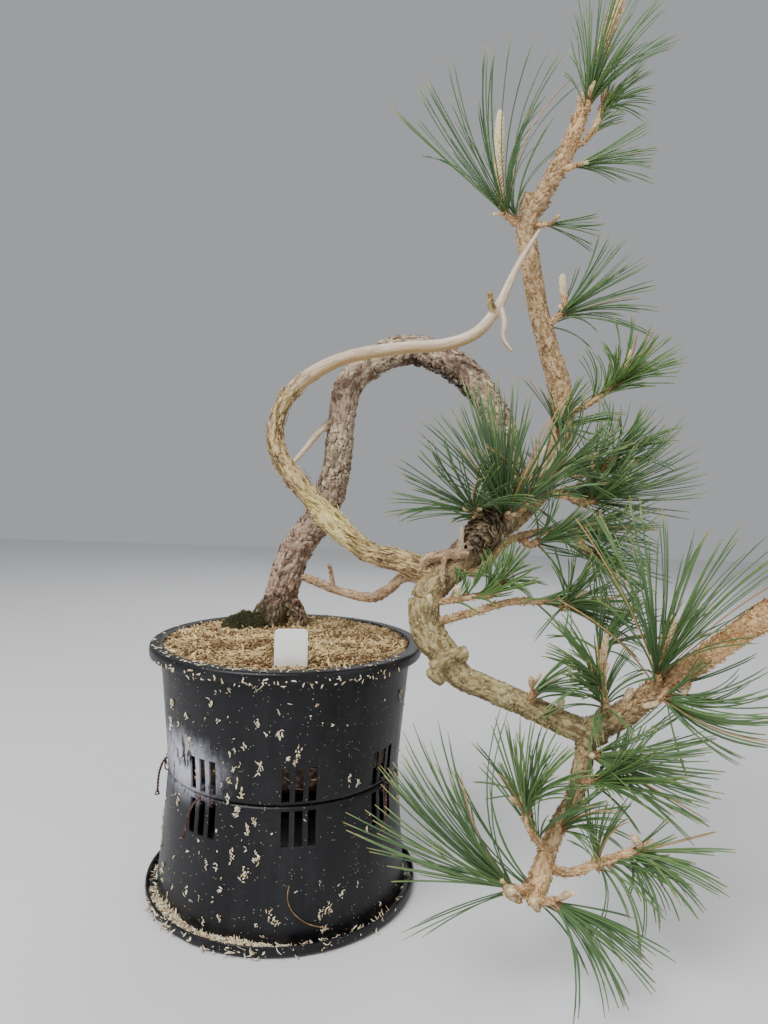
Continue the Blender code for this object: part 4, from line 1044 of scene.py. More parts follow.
LIMBS = {
    "looped_trunk": {
        "trunk": (TRUNK, TRUNK_TONES, {}, 6.5, 3.6),
        "flaky_knob": ([(173, -22, 330, 7.5), (160, -36, 312, 9.4), (152, -41, 299, 6.4)],
        {0: "knob_bark"}, {}, 9.0, 7.0),
        "callus": ([(148, -55, 214, 6), (132, -60, 210, 6), (122, -61, 201, 6.2),
        (130, -60, 191, 5)], {0: "cascade_bark"}, {}, 5.0, 3.0),
        "left_root": ([(-16, 46, 238, 9), (-22, 43, 231, 9.5), (-30, 40, 220, 9), (-36, 38, 206, 8)],
        {0: "damp_foot"}, {}, 6.0, 4.0),
        "front_root": ([(-14, 38, 232, 7), (-17, 30, 222, 8), (-19, 26, 208, 7)],
        {0: "damp_foot"}, {}, 6.0, 4.0),
        "right_root": ([(-8, 43, 236, 8), (-1, 39, 228, 8.2), (4, 36, 218, 8.4), (6, 34, 205, 8)],
        {0: "damp_foot", 1: "damp_foot", 2: "knob_bark", 3: "damp_foot"}, {}, 6.0, 4.0),
        "grey_lump": ([(-17, 42, 239, 4.5), (-23, 40, 242, 5.3), (-27, 39, 244, 4.4)],
        {0: "pink_bark"}, {}, 9.0, 9.0),
        "back_root": ([(-18, 50, 226, 9), (-24, 60, 213, 6.5), (-27, 65, 204, 4)],
        {0: "damp_foot"}, {}, 6.0, 4.0),
    },
    "bleached_branch": {
        "thin_branch": (THIN_BRANCH, {0: "streak_bark", 2: "streak_bark", 3: "split_bark", 4: "streak_bark"},
        {0: 0.0, 6: 0.0, 7: 0.12, 8: 0.9, 9: 1.0}, 30.0, 2.6),
        "stub": ([(171, 8, 492, 3.4), (165, 2, 500, 3.1), (163, -4, 509, 2.5)],
        {0: "streak_bark"}, {0: 0.9, 1: 0.2, 2: 0.0}, 9.0, 2.6),
        "dead_twig": ([(173, 8, 502, 3.1), (177, 3, 486, 2.6), (176, 0, 472, 2), (184, -3, 460, 1.2)],
        {0: "streak_bark"}, {0: 1.0}, 9.0, 2.6),
        "cross_spur": ([(34, 40, 404, 4.5), (18, 28, 388, 2.9), (8, 18, 373, 2.5), (-1, 12, 361, 2.1)],
        {0: "old_bark"}, {0: 0.1, 1: 0.6, 2: 1.0}, 8.0, 2.4),
        "low_twig": ([(116, -31, 268, 4.9), (98, -22, 268, 4.2), (86, -14, 257, 4.4),
        (71, -4, 247, 4.3), (47, 8, 249, 3.7), (24, 18, 255, 3.6), (9, 24, 259, 3.4)],
        {0: "twig_bark"}, {0: 0.0}, 5.0, 2.4),
        "low_twig_stub": ([(37, 12, 251, 2.3), (35, 10, 264, 1.9), (33, 8, 272, 1.6)],
        {0: "twig_bark"}, {0: 0.1}, 5.0, 2.0),
    },
    "rising_leader": {
        "leader": ([
        (170, -18, 306, 8.5), (194, 8, 319, 8.7), (218, 25, 344, 9.8), (234, 34, 376, 9.9),
        (239, 38, 408, 10.4), (234, 38, 439, 9.8), (223, 37, 472, 9.0), (211, 36, 509, 9.0),
        (203, 34, 547, 8.5), (198, 32, 578, 8.4), (209, 30, 600, 8), (222, 29, 626, 7),
        (231, 28, 643, 6.6), (240, 27, 670, 5.7), (252, 25, 710, 5.2), (262, 24, 745, 4.8),
        (272, 22, 778, 4.3), (279, 21, 805, 3.4)],
        {0: "cascade_bark", 4: "leader_bark", 11: "leader_bark", 14: "young_bark"}, {}, 4.5, 2.8),
        "old_stub": ([(200, 33, 572, 7), (198, 32, 592, 7.2), (200, 31, 606, 5.3)],
        {0: "leader_bark"}, {}, 4.5, 2.8),
    },
    "cascade_branches": {
        "right_branch": ([
        (238, -79, 162, 9.6), (262, -86, 177, 9.4), (281, -94, 197, 8.1), (302, -108, 221, 7.5),
        (320, -128, 246, 7.6), (334, -148, 268, 7.6), (344, -166, 286, 6.3)],
        {0: "cascade_bark", 2: "leader_bark", 3: "young_bark"}, {}, 4.0, 3.0),
        "lower_branch": ([
        (239, -79, 163, 8.4), (234, -88, 140, 6.9), (227, -96, 120, 6.3), (214, -106, 104, 5.8),
        (204, -116, 88, 6.4), (197, -126, 74, 7.7), (188, -134, 60, 7.6)],
        {0: "cascade_bark", 4: "leader_bark", 6: "young_bark"}, {}, 4.5, 2.8),
        "scaly_twig": ([(112, -32, 274, 4.6), (115, -36, 285, 4.4), (132, -42, 290, 4.2),
        (149, -46, 292, 4)], {0: "twig_bark"}, {}, 3.5, 2.4),
        "scaly_drop": ([(130, -43, 290, 2.4), (128, -47, 278, 2.1), (128, -49, 266, 1.7)],
        {0: "twig_bark"}, {}, 3.5, 2.0),
        "pale_spur": ([(142, -44, 291, 2.4), (142, -46, 302, 2), (142, -47, 314, 1.5)],
        {0: "twig_bark"}, {0: 0.3, 2: 0.9}, 4.0, 2.0),
    },
}
# needle tufts: shoot stops, shoot radius, how dark or fresh (0 to 1), fascicles for each spike
SHOOTS = [
    ([(196, 33, 578), (184, 29, 581), (178, 26, 585)], 3.0, 0.25, 1.4),
    ([(240, 27, 670), (244, 18, 674), (243, 12, 678)], 2.4, 0.45, 3.0),
    ([(230, 28, 641), (245, 24, 650), (253, 20, 661), (256, 18, 676)], 2.4, 0.75, 4.0),
    ([(221, 29, 624), (229, 22, 624), (236, 17, 625)], 2.4, 0.45, 1.0),
    ([(202, 33, 577), (209, 24, 576), (214, 19, 575)], 2.2, 0.35, 0.6),
    ([(216, 37, 487), (224, 32, 494), (231, 28, 500)], 2.6, 0.35, 1.4),
    ([(239, 38, 412), (256, 32, 420), (271, 27, 431), (284, 23, 441)], 2.8, 0.95, 5.0),
    ([(178, -18, 318), (179, -29, 320), (178, -37, 322)], 2.6, 0.2, 4.5),
    ([(167, -26, 311), (159, -39, 320), (151, -45, 326)], 2.6, 0.2, 3.5),
    ([(222, 27, 344), (232, 17, 340), (241, 10, 338)], 2.6, 0.3, 4.5),
    ([(231, 32, 364), (245, 20, 358), (255, 10, 358)], 2.4, 0.45, 4.0),
    ([(138, -34, 277), (159, -40, 277), (172, -38, 294), (186, -27, 303), (207, -16, 308),
      (230, -8, 311), (241, -4, 311)], 2.8, 0.4, 4.5),
    ([(122, -42, 234), (153, -52, 246), (182, -52, 255), (207, -48, 255), (224, -44, 254)],
     2.6, 0.6, 5.0),
    ([(120, -40, 250), (146, -52, 257), (161, -55, 260)], 2.2, 0.75, 5.0),
    ([(197, -67, 178), (196, -78, 186), (195, -83, 193)], 2.2, 0.5, 1.5),
    ([(283, -95, 200), (280, -104, 208), (279, -108, 216)], 3.0, 0.4, 4.0),
    ([(257, -85, 175), (248, -92, 187), (244, -96, 205)], 2.4, 0.5, 4.0),
    ([(290, -100, 208), (285, -109, 203), (280, -114, 199)], 2.2, 0.45, 3.0),
    ([(234, -88, 147), (236, -95, 151), (237, -102, 152)], 2.2, 0.5, 3.5),
    ([(203, -117, 88), (190, -121, 104), (185, -121, 118)], 2.6, 0.6, 5.0),
    ([(200, -122, 80), (217, -127, 78), (237, -129, 87), (261, -129, 96)], 2.8, 0.55, 4.5),
    ([(195, -129, 70), (184, -138, 72), (173, -144, 75)], 2.6, 0.35, 3.0),
    ([(189, -134, 62), (197, -143, 66), (202, -148, 70)], 2.6, 0.5, 2.0),
    ([(229, -94, 131), (234, -103, 133), (240, -107, 136)], 2.4, 0.6, 5.0),
    ([(343, -165, 284), (348, -170, 292)], 3.4, 0.45, 3.0),
    ([(278, 21, 803), (281, 20, 812)], 2.6, 0.5, 3.0),
]
LIMBS["needle_shoots"] = {
    "shoot_%02d" % number: (
        [(*p, radius * (1.25 - 0.35 * i / (len(route) - 1))) for i, p in enumerate(route)],
        {0: "leader_bark", len(route) - 1: "young_bark"}, {}, 3.0, 2.2)
    for number, (route, radius, fresh, bundles) in enumerate(SHOOTS, 1)
}
print("limbs:", {group: len(limbs) for group, limbs in LIMBS.items()})

# %% [markdown]
# ## Sampling a limb
# A limb is turned into closely spaced samples. Each holds its centre, radius, direction, two side
# directions that don't twist, distance along the limb, and its palette. Any point of bark can then
# ask which sample is nearest, and so know how far along and round the limb it lies.


# %% Sample the routes
SAMPLE_STEP = 2.5


def follow(stops):
    """Catmull-Rom samples through stops, and each sample's place among the stops."""
    stops = np.array(stops, float)
    out = []
    keys = []
    last = len(stops) - 1
    for i in range(last):
        p0, p1, p2, p3 = (stops[k] for k in (max(i - 1, 0), i, i + 1, min(i + 2, last)))
        count = max(2, round(np.linalg.norm(p2[:3] - p1[:3]) / SAMPLE_STEP))
        for t in np.arange(count) / count:
            point = 0.5 * (2 * p1 + (p2 - p0) * t + (2 * p0 - 5 * p1 + 4 * p2 - p3) * t * t
                    + (3 * p1 - p0 - 3 * p2 + p3) * t * t * t)
            point[3] = p1[3] + (p2[3] - p1[3]) * t * t * (3 - 2 * t)
            out.append(point)
            keys.append(i + t)
    out.append(stops[last])
    keys.append(float(last))
    return np.array(out), np.array(keys)


def blend_rows(at, marks, rows):
    """Rows of numbers read off between their marks."""
    return np.stack([np.interp(at, marks, rows[:, k]) for k in range(rows.shape[1])], axis=1)


def along_stops(keys, table, pick):
    """Numbers along a limb, from a table of {stop number: value}."""
    marks = sorted(table)
    values = np.array([pick(table[m]) for m in marks], float)
    if values.ndim == 1:
        return np.interp(keys, marks, values)
    return blend_rows(keys, marks, values)


def sample_limb(limb, number):
    stops, tones, bleached, plate_length, plate_width = limb
    route, keys = follow(stops)
    centre = route[:, :3]
    ahead = unit(np.gradient(centre, axis=0))
    side = np.zeros_like(centre)
    side[0] = unit(np.cross(ahead[0], np.array([0.3, -0.9, 0.25])))
    for i in range(1, len(centre)):
        side[i] = unit(side[i - 1] - ahead[i] * np.dot(side[i - 1], ahead[i]))
    travel = np.concatenate([[0.0], np.cumsum(np.linalg.norm(np.diff(centre, axis=0), axis=1))])
    size = len(keys)
    return {
        "centre": centre, "ahead": ahead, "side": side, "other": np.cross(ahead, side),
        "travel": travel, "radius": route[:, 3], "keys": keys,
        "light": along_stops(keys, tones, lambda v: PALETTES[v][0]),
        "dark": along_stops(keys, tones, lambda v: PALETTES[v][1]),
        "depth": along_stops(keys, tones, lambda v: PALETTES[v][2]),
        "bleach": along_stops(keys, bleached or {0: 0.0}, float),
        "plate": np.tile([plate_length, plate_width], (size, 1)),
        "limb": np.full(size, number), "end": np.arange(size) == size - 1,
    }


def sample_group(limbs):
    parts = [sample_limb(limb, number) for number, limb in enumerate(limbs.values())]
    return {key: np.concatenate([part[key] for part in parts]) for key in parts[0]}


print("trunk samples:", len(follow(TRUNK)[1]))


# %% Find the nearest limb for any point
def look_up(samples, points):
    """For points in mm: the place along and round the nearest limb, and the values there."""
    nearest = np.zeros(len(points), int)
    for start in range(0, len(points), 8000):
        part = points[start:start + 8000]
        gap = np.linalg.norm(part[:, None] - samples["centre"][None], axis=2) - samples["radius"][None]
        nearest[start:start + 8000] = np.argmin(gap, axis=1)
    offset = np.sum((points - samples["centre"][nearest]) * samples["ahead"][nearest], axis=1)
    first = np.where((offset < 0) | samples["end"][nearest], nearest - 1, nearest)
    first = np.where(first < 0, 0, first)
    first = np.where(samples["end"][first], first + 1, first)
    second = np.minimum(first + 1, len(samples["travel"]) - 1)
    a = np.sum((points - samples["centre"][first]) * samples["ahead"][first], axis=1)
    b = np.sum((points - samples["centre"][second]) * samples["ahead"][second], axis=1)
    share = a / np.where(np.abs(a - b) < 1e-6, 1e-6, a - b)
    t = np.clip(share, 0.0, 1.0)
    found = {}
    for key in ("centre", "ahead", "side", "other", "radius", "light", "dark", "depth", "bleach",
            "plate", "keys"):
        low = samples[key][first]
        high = samples[key][second]
        weight = t[:, None] if low.ndim == 2 else t
        found[key] = low + (high - low) * weight
    step = samples["travel"][second] - samples["travel"][first]
    found["s"] = samples["travel"][first] + np.clip(share, -4.0, 5.0) * step
    reach = points - found["centre"]
    found["u"] = np.sum(reach * found["side"], axis=1)
    found["v"] = np.sum(reach * found["other"], axis=1)
    found["limb"] = samples["limb"][nearest]
    return found


probe = look_up(sample_group({"trunk": LIMBS["looped_trunk"]["trunk"]}), np.array([[40.0, 40.0, 370.0]]))
print("a point by the trunk lies", round(float(probe["s"][0])), "mm along it")


# %% [markdown]
# ## Growing the wood
# The limbs of one group are tubes that run into each other. A voxel remesh melts them into one skin
# with even faces, as living wood closes over its own joints. That skin is then pushed in and out:
# broad lumps first, then the plates of the bark with their cracks, then fine grain. Where the arch
# bends tightest its inner side is thrown into cross wrinkles, darkened there by painted shade.


# %% Melt tubes into one skin
def melt(name, limbs, voxel):
    """Tubes along the limbs, remeshed together; returns points (mm), faces and normals."""
    parts = []
    for limb in limbs.values():
        route = follow(limb[0])[0]
        points, faces, _ = tubes(route[None, :, :3], route[None, :, 3], 20)
        parts.append((points, faces, {}))
    points, faces, _ = stack(parts)
    mesh = bpy.data.meshes.new(name + "_tubes")
    mesh.from_pydata(points.tolist(), [], faces.tolist())
    obj = bpy.data.objects.new(name + "_tubes", mesh)
    show(obj)
    mod = obj.modifiers.new("melt", "REMESH")
    mod.mode = "VOXEL"
    mod.voxel_size = voxel
    ease = obj.modifiers.new("ease", "SMOOTH")
    ease.factor = 0.5
    ease.iterations = 6
    bpy.context.view_layer.update()
    done = obj.evaluated_get(bpy.context.evaluated_depsgraph_get()).to_mesh()
    count = len(done.vertices)
    points = np.zeros(count * 3)
    done.vertices.foreach_get("co", points)
    normals = np.zeros(count * 3)
    done.vertices.foreach_get("normal", normals)
    corners = np.zeros(len(done.loops), int)
    done.loops.foreach_get("vertex_index", corners)
    faces = corners.reshape(-1, 4)
    bpy.data.objects.remove(obj, do_unlink=True)
    return points.reshape(-1, 3), faces, normals.reshape(-1, 3)


print("limbs to melt:", sum(len(limbs) for limbs in LIMBS.values()))

# %% [markdown]
# ## Sprays between the tufts
# Between the big tufts the crown is filled by short sprays. Each spray's foot is given, and a thin
# twig joins it to whichever limb passes nearest.

# %% Join the sprays to the nearest limbs
# foot in mm from the pot axis, pairs of needles, their reach in mm, how fresh
SPRAYS = [
    ((195, -42, 336), 24, 76, 0.35), ((223, -22, 361), 26, 74, 0.35), ((256, -16, 337), 22, 66, 0.5),
    ((226, 4, 398), 18, 66, 0.45), ((204, -46, 303), 20, 58, 0.4), ((251, -38, 292), 24, 66, 0.55),
    ((173, -56, 272), 16, 42, 0.85), ((225, -56, 256), 20, 62, 0.6), ((276, -2, 376), 16, 62, 0.6),
    ((150, -46, 326), 14, 66, 0.3), ((247, -72, 226), 16, 70, 0.5), ((246, -90, 186), 14, 62, 0.6),
    ((190, -112, 122), 14, 60, 0.7), ((214, -112, 104), 14, 58, 0.6), ((238, -118, 84), 14, 56, 0.5),
]


def nearest_wood(place):
    best = (1e9, None)
    for group in ("looped_trunk", "rising_leader", "cascade_branches", "needle_shoots"):
        for limb in LIMBS[group].values():
            samples = follow(limb[0])[0][:, :3]
            gaps = np.linalg.norm(samples - place, axis=1)
            if gaps.min() < best[0]:
                best = (gaps.min(), samples[gaps.argmin()])
    return best[1]


spray_routes = []
for foot, pairs, reach, fresh in SPRAYS:
    start = nearest_wood(np.array(foot, float))
    middle = (start + np.array(foot)) / 2 + np.array([0.0, -2.0, -4.0])
    spray_routes.append([tuple(start), tuple(middle), foot])
for number, route in enumerate(spray_routes, 1):
    LIMBS["needle_shoots"]["spray_%02d" % number] = (
        [(*place, girth) for place, girth in zip(route, (3.2, 2.6, 2.1))],
        {0: "leader_bark", 2: "young_bark"}, {}, 3.0, 2.2)
print("sprays:", len(SPRAYS))

# %% Carve the bark
LOOP_CENTRE = np.array([105.0, 36.0, 372.0])


def bark_relief(points, normals, found, group):
    """How far each point is pushed out (mm), with its ridge, plate number and wrinkle share."""
    turn = np.stack([found["s"] / found["plate"][:, 0], found["u"] / found["plate"][:, 1],
            found["v"] / found["plate"][:, 1]], axis=1)
    salt = found["limb"] * 17
    turn = turn + (salt * 3.7)[:, None]
    wander = np.stack([soft_field(points / 5.0, k) for k in (21, 22, 23)], axis=1) - 0.5
    wander = wander + 1.7 * (np.stack([soft_field(points / 15.0, k) for k in (24, 25, 26)], axis=1) - 0.5)
    near, next_near, number, lift = cell_field(turn + wander * 0.9, 5)
    plates = fade(next_near - near, 0.02, 0.26)
    fine_near, fine_next, fine_number, fine_lift = cell_field(turn * 2.3 + wander * 1.4, 61)
    scales = fade(fine_next - fine_near, 0.02, 0.30)
    grain = soft_field(points / 1.3, 31)
    ridge = plates * (0.55 + 0.45 * scales)
    rugged = soft_field(points / 13.0, 55)
    ridge = 1.0 - (1.0 - ridge) * (0.25 + 0.85 * rugged)
    height = plates * (0.35 + 0.5 * number + 0.55 * lift) + 0.32 * scales * (0.4 + fine_lift)
    height = (height + 0.22 * (grain - 0.5) - 0.75) * found["depth"] * (0.45 + 1.1 * rugged)
    lumps = (soft_field(points / 22.0, 41) - 0.5) * 0.16 + (soft_field(points / 9.0, 42) - 0.5) * 0.09
    height = height + lumps * found["radius"]
    wrinkle = np.zeros(len(points))
    if group == "looped_trunk":
        inward = np.sum(normals * unit(LOOP_CENTRE - points), axis=1)
        in_arch = fade(found["keys"], 11.2, 12.6) * fade(found["keys"], 15.8, 14.6)
        wrinkle = fade(inward, 0.15, 0.75) * in_arch * (found["limb"] == 0)
        folds = np.stack([found["s"] / 3.3, found["u"] / 10.0, found["v"] / 10.0], axis=1)
        fold_near, fold_next, _, fold_lift = cell_field(folds + wander * 0.6, 91)
        fold = fade(fold_next - fold_near, 0.0, 0.4) + 0.5 * fold_lift
        height = height * (1.0 - 0.6 * wrinkle) + wrinkle * (fold - 0.7) * 2.4
        # in the wrinkles the ridge follows the folds, so their hollows take the dark crack colour as painted
        # shade
        ridge = ridge * (1.0 - wrinkle) + wrinkle * np.clip(fold - 0.35, 0.0, 1.0)
    height = height * (1.0 - 0.68 * found["bleach"])
    return height, ridge, number * 0.7 + fine_number * 0.3, wrinkle


def grow(group, voxel):
    """One group of limbs as a piece with its bark fields; returns them for scattering scales."""
    limbs = LIMBS[group]
    samples = sample_group(limbs)
    points, faces, normals = melt(group, limbs, voxel)
    found = look_up(samples, points)
    height, ridge, plate, wrinkle = bark_relief(points, normals, found, group)
    points = points + normals * height[:, None]
    ragged = (soft_field(points / 6.0, 51) - 0.5) * 0.5
    bleach = fade(found["bleach"] + ragged * (found["bleach"] > 0.02), 0.25, 0.6)
    low = fade(points[:, 2], 240.0, 222.0) * fade(points[:, 0], 8.0, -14.0)
    # painted shade: the bark colour on the inner side of the tightest bend of the arch is darkened by up to
    # 65 percent
    shade = (1.0 - 0.65 * wrinkle)[:, None]
    # lower says how far the skin faces downward; the finish uses it for painted shade on the underside of the
    # bleached wood, in golden brown
    fields = {
        "ridge": ridge, "plate": plate, "bleach": bleach, "lower": fade(-normals[:, 2], -0.1, 0.75),
        "moss": low if group == "looped_trunk" else np.zeros(len(points)),
        "tone_light": found["light"] * shade, "tone_dark": found["dark"] * shade,
        "drawn": np.stack([found["s"], found["u"], found["v"]], axis=1) * MM,
    }
    return {"points": points, "faces": faces, "normals": normals, "ahead": found["ahead"],
            "fields": fields, "keys": found["keys"], "limb": found["limb"]}


print("palettes:", len(PALETTES))


# %% Mix the bark finish
def make_bark_finish():
    mat, tree, shader = new_material("weathered_bark", (0.3, 0.22, 0.16))
    drawn = kept(tree, "drawn", "Vector")
    light = kept(tree, "tone_light", "Color")
    dark = kept(tree, "tone_dark", "Color")
    broken = blend_colour(tree, 0.38, light, (0.86, 0.78, 0.62, 1.0))
    # the crack colour is the plates' dark ground pushed towards black: partly the bark's own dark fissures,
    # partly painted shade in them
    crack_and_shade = blend_colour(tree, 0.66, dark, (0.020, 0.012, 0.008, 1.0))
    bark = use_group(tree, bark_group, {
        "Place": drawn, "Ridge": kept(tree, "ridge"), "Plate": kept(tree, "plate"),
        "Plate light": light, "Plate dark": dark, "Broken edge": broken, "Crack and shade": crack_and_shade})
    dead = use_group(tree, fibre_group, {
        "Place": drawn, "Light": (0.80, 0.70, 0.54, 1.0), "Dark": (0.36, 0.22, 0.11, 1.0),
        "Tone": 0.50, "Fineness": 520.0})
    # painted shade: the downward-facing side of the bleached wood is mixed towards golden brown
    dead_wood_with_shaded_underside = blend_colour(tree, times(tree, kept(tree, "lower"), 0.75), dead["Colour"],
            (0.50, 0.31, 0.11, 1.0))
    colour = blend_colour(tree, kept(tree, "bleach"), bark["Colour"], dead_wood_with_shaded_underside)
    green_patch = noise(tree, object_place(tree), 190.0, 4.0, 0.7)
    green = times(tree, kept(tree, "moss"), mask_ramp(tree, green_patch, 0.44, 0.58))
    colour = blend_colour(tree, times(tree, green, 0.85), colour, (0.045, 0.06, 0.018, 1.0))
    rough = blend_colour(tree, kept(tree, "bleach"), bark["Roughness"], (0.6, 0.6, 0.6, 1.0))
    dead_height = times(tree, dead["Height"], kept(tree, "bleach"))
    height = plus(tree, bark["Height"], dead_height)
    finish_surface(tree, shader, colour, rough, height, 0.0007, 0.9)
    shader.inputs["Specular IOR Level"].default_value = 0.25
    return mat


bark_finish = make_bark_finish()
print("bark finish:", len(bark_finish.node_tree.nodes), "nodes")

# %% Grow the five groups of limbs
coarse = 1.0
WOOD_VOXELS = {"looped_trunk": 1.0, "bleached_branch": 0.75, "rising_leader": 0.85,
        "cascade_branches": 0.8, "needle_shoots": 0.75}
wood = {}
for group, voxel in WOOD_VOXELS.items():
    grown = grow(group, voxel * coarse)
    wood[group] = grown
    skin = grown["points"] * MM + pot_axis
    make_piece(group, skin, grown["faces"], bark_finish, ["trunk_and_branches"],
            fields=grown["fields"])
    print(group, len(grown["faces"]), "faces")

# %% [markdown]
# ## Loose scales and bracts
# Old bark sheds thin papery scales, and young shoots are rough with the dry stumps of bracts. Both
# are real flakes here, set on the skin and turned along the limb. Scales lie almost flat, and bracts
# point up the shoot and outward, so that they break its outline.


# %% Set flakes on the skin
def set_scales(name, group, count, length, width, tilt, chosen, lift, pale):
    """Flakes on a grown limb where chosen is true; sizes and lift in mm, tilt in degrees."""
    grown = wood[group]
    places = np.flatnonzero(chosen)
    pick = places[rng.integers(0, len(places), count)]
    normals = grown["normals"][pick]
    along = grown["ahead"][pick]
    along = unit(along - normals * np.sum(along * normals, axis=1, keepdims=True)
            + rng.normal(0.0, 0.22, (count, 3)))
    lean = np.radians(rng.uniform(*tilt, count))[:, None]
    spine = unit(along * np.cos(lean) + normals * np.sin(lean))
    face = unit(normals * np.cos(lean) - along * np.sin(lean))
    lengths = rng.uniform(*length, count)
    spots = grown["points"][pick] + normals * lift + spine * lengths[:, None] * 0.42
    points, faces = flakes(spots * MM + pot_axis, spine, face, lengths * MM,
            rng.uniform(*width, count) * MM, rng.uniform(0.22, 0.5, count) * MM,
            rng.uniform(-0.05, 0.28, count))
    each = FLAKE_STEPS * 4
    fields = {key: np.repeat(values[pick], each, axis=0) for key, values in grown["fields"].items()}
    fields["ridge"] = np.full(count * each, 0.8)
    fields["plate"] = np.repeat(rng.random(count), each)
    for key in ("tone_light", "tone_dark"):
        fields[key] = np.clip(fields[key] * pale, 0.0, 0.9)
    run = np.tile(np.repeat(np.linspace(0.0, 0.006, FLAKE_STEPS), 4), count)
    fields["drawn"] = fields["drawn"] + np.stack([run, run * 0.0, run * 0.0], axis=1)
    make_piece(name, points, faces, bark_finish, fields=fields)
    print(name, count)


# %% Choose where the scales go and set them
trunk_keys = wood["looped_trunk"]["keys"]
trunk_limb = wood["looped_trunk"]["limb"]
on_trunk = (trunk_limb == 0) & (trunk_keys > 3.4)
high_ridge = wood["looped_trunk"]["fields"]["ridge"] > 0.45
thin_limb = wood["bleached_branch"]["limb"]
on_thin = (thin_limb == 0) & (wood["bleached_branch"]["keys"] < 7.8)
leader_keys = wood["rising_leader"]["keys"]
branch_keys = wood["cascade_branches"]["keys"]
branch_limb = wood["cascade_branches"]["limb"]
rough_shoot = (branch_limb == 0) & (branch_keys > 1.6)
on_shoots = wood["needle_shoots"]["limb"] >= 0
# piece, group, count, length and width in mm, tilt in degrees, where, lift in mm, how pale
SCALES = [
    ("old_bark_scales", "looped_trunk", 1500, (2.0, 8.0), (1.4, 5.6), (0, 9),
     on_trunk & (trunk_keys < 21.0) & high_ridge, 0.0, 1.06),
    ("cascade_scales", "looped_trunk", 600, (1.2, 3.6), (0.9, 2.6), (0, 10),
     on_trunk & (trunk_keys > 21.0), 0.0, 1.0),
    ("knob_plates", "looped_trunk", 380, (4.5, 12.0), (3.5, 8.0), (4, 38), trunk_limb == 1, 0.3, 0.95),
    ("thin_branch_strips", "bleached_branch", 420, (5.0, 15.0), (0.8, 2.0), (0, 6), on_thin, 0.05, 1.08),
    ("low_twig_scales", "bleached_branch", 360, (1.5, 3.2), (0.9, 1.8), (2, 22), thin_limb >= 4, 0.1, 1.1),
    ("leader_scales", "rising_leader", 1500, (1.4, 3.6), (0.9, 2.2), (1, 15), leader_keys < 12.5, 0.05, 1.04),
    ("leader_bracts", "rising_leader", 520, (2.6, 5.4), (0.8, 1.6), (20, 58), leader_keys > 9.0, 0.0, 1.12),
    ("right_branch_bracts", "cascade_branches", 950, (2.2, 4.6), (1.2, 2.4), (12, 48), rough_shoot, 0.0, 1.1),
    ("lower_branch_scales", "cascade_branches", 900, (1.5, 3.4), (0.9, 1.9), (3, 34),
     ~rough_shoot, 0.1, 1.08),
    ("shoot_bracts", "needle_shoots", 2600, (1.4, 3.4), (0.8, 1.6), (10, 44), on_shoots, 0.0, 1.1),
]
thin = 1
for name, group, count, *rest in SCALES:
    set_scales(name, group, count // thin, *rest)
print("scale pieces:", len(SCALES), "on", len(wood), "groups")

# %% [markdown]
# ## Pine needles
# The needles of this pine come in pairs, held at the foot by a brown papery sheath, and the pairs
# crowd round the last two centimetres of each shoot. The frame marks where bundles reach, as spikes
# from a knot. Each spike becomes several pairs here, a little apart in aim and length. A needle is a
# thin tube, gently bowed, and the two of a pair part slowly towards their tips.


# %% Mix the needle finish
def make_needle_finish():
    mat, tree, shader = new_material("pine_needle_green", (0.05, 0.12, 0.05))
    run = kept(tree, "run")
    tone = kept(tree, "tone")
    fresh = kept(tree, "fresh")
    grain = noise(tree, stretched(tree, kept(tree, "drawn", "Vector"), (0.12, 1.0, 1.0)), 1800.0, 2.0, 0.5)
    deep = blend_colour(tree, tone, (0.018, 0.058, 0.018, 1.0), (0.072, 0.145, 0.038, 1.0))
    young = blend_colour(tree, tone, (0.070, 0.180, 0.030, 1.0), (0.190, 0.330, 0.055, 1.0))
    green = blend_colour(tree, fresh, deep, young)
    green = blend_colour(tree, times(tree, grain, 0.35), green, (0.17, 0.27, 0.17, 1.0))
    tip = times(tree, mask_ramp(tree, run, 0.88, 1.0), 0.7)
    green = blend_colour(tree, tip, green, (0.30, 0.33, 0.10, 1.0))
    burnt = times(tree, mask_ramp(tree, run, 0.965, 0.99), 0.8)
    green = blend_colour(tree, burnt, green, (0.36, 0.22, 0.08, 1.0))
    dead = blend_colour(tree, grain, (0.40, 0.18, 0.06, 1.0), (0.62, 0.36, 0.15, 1.0))
    colour = blend_colour(tree, kept(tree, "dead"), green, dead)
    sheath = blend_colour(tree, grain, (0.16, 0.085, 0.045, 1.0), (0.48, 0.31, 0.17, 1.0))
    foot = mask_ramp(tree, kept(tree, "from_foot"), 6.5, 4.5)
    colour = blend_colour(tree, foot, colour, sheath)
    rough = plus(tree, times(tree, grain, 0.18), times(tree, foot, 0.3))
    finish_surface(tree, shader, colour, plus(tree, rough, 0.30), grain, 0.00012, 0.5)
    shader.inputs["Specular IOR Level"].default_value = 0.55
    return mat


needle_finish = make_needle_finish()
NEEDLE_RINGS = 9
NEEDLE_SIDES = 4
NEEDLE_RADIUS = 0.56
BUNDLE_SHARE = 0.42
KNOT = 4.8
GAP = 0.3
FLOOR_CLEAR = 3.0
print("needle finish:", len(needle_finish.node_tree.nodes), "nodes")


# %% Read the spikes of a tuft from the frame
def end_of(route):
    """The last stop of a shoot and the direction it points in."""
    tip = np.array(route[-1], float)
    return tip, unit(tip - np.array(route[-2], float))


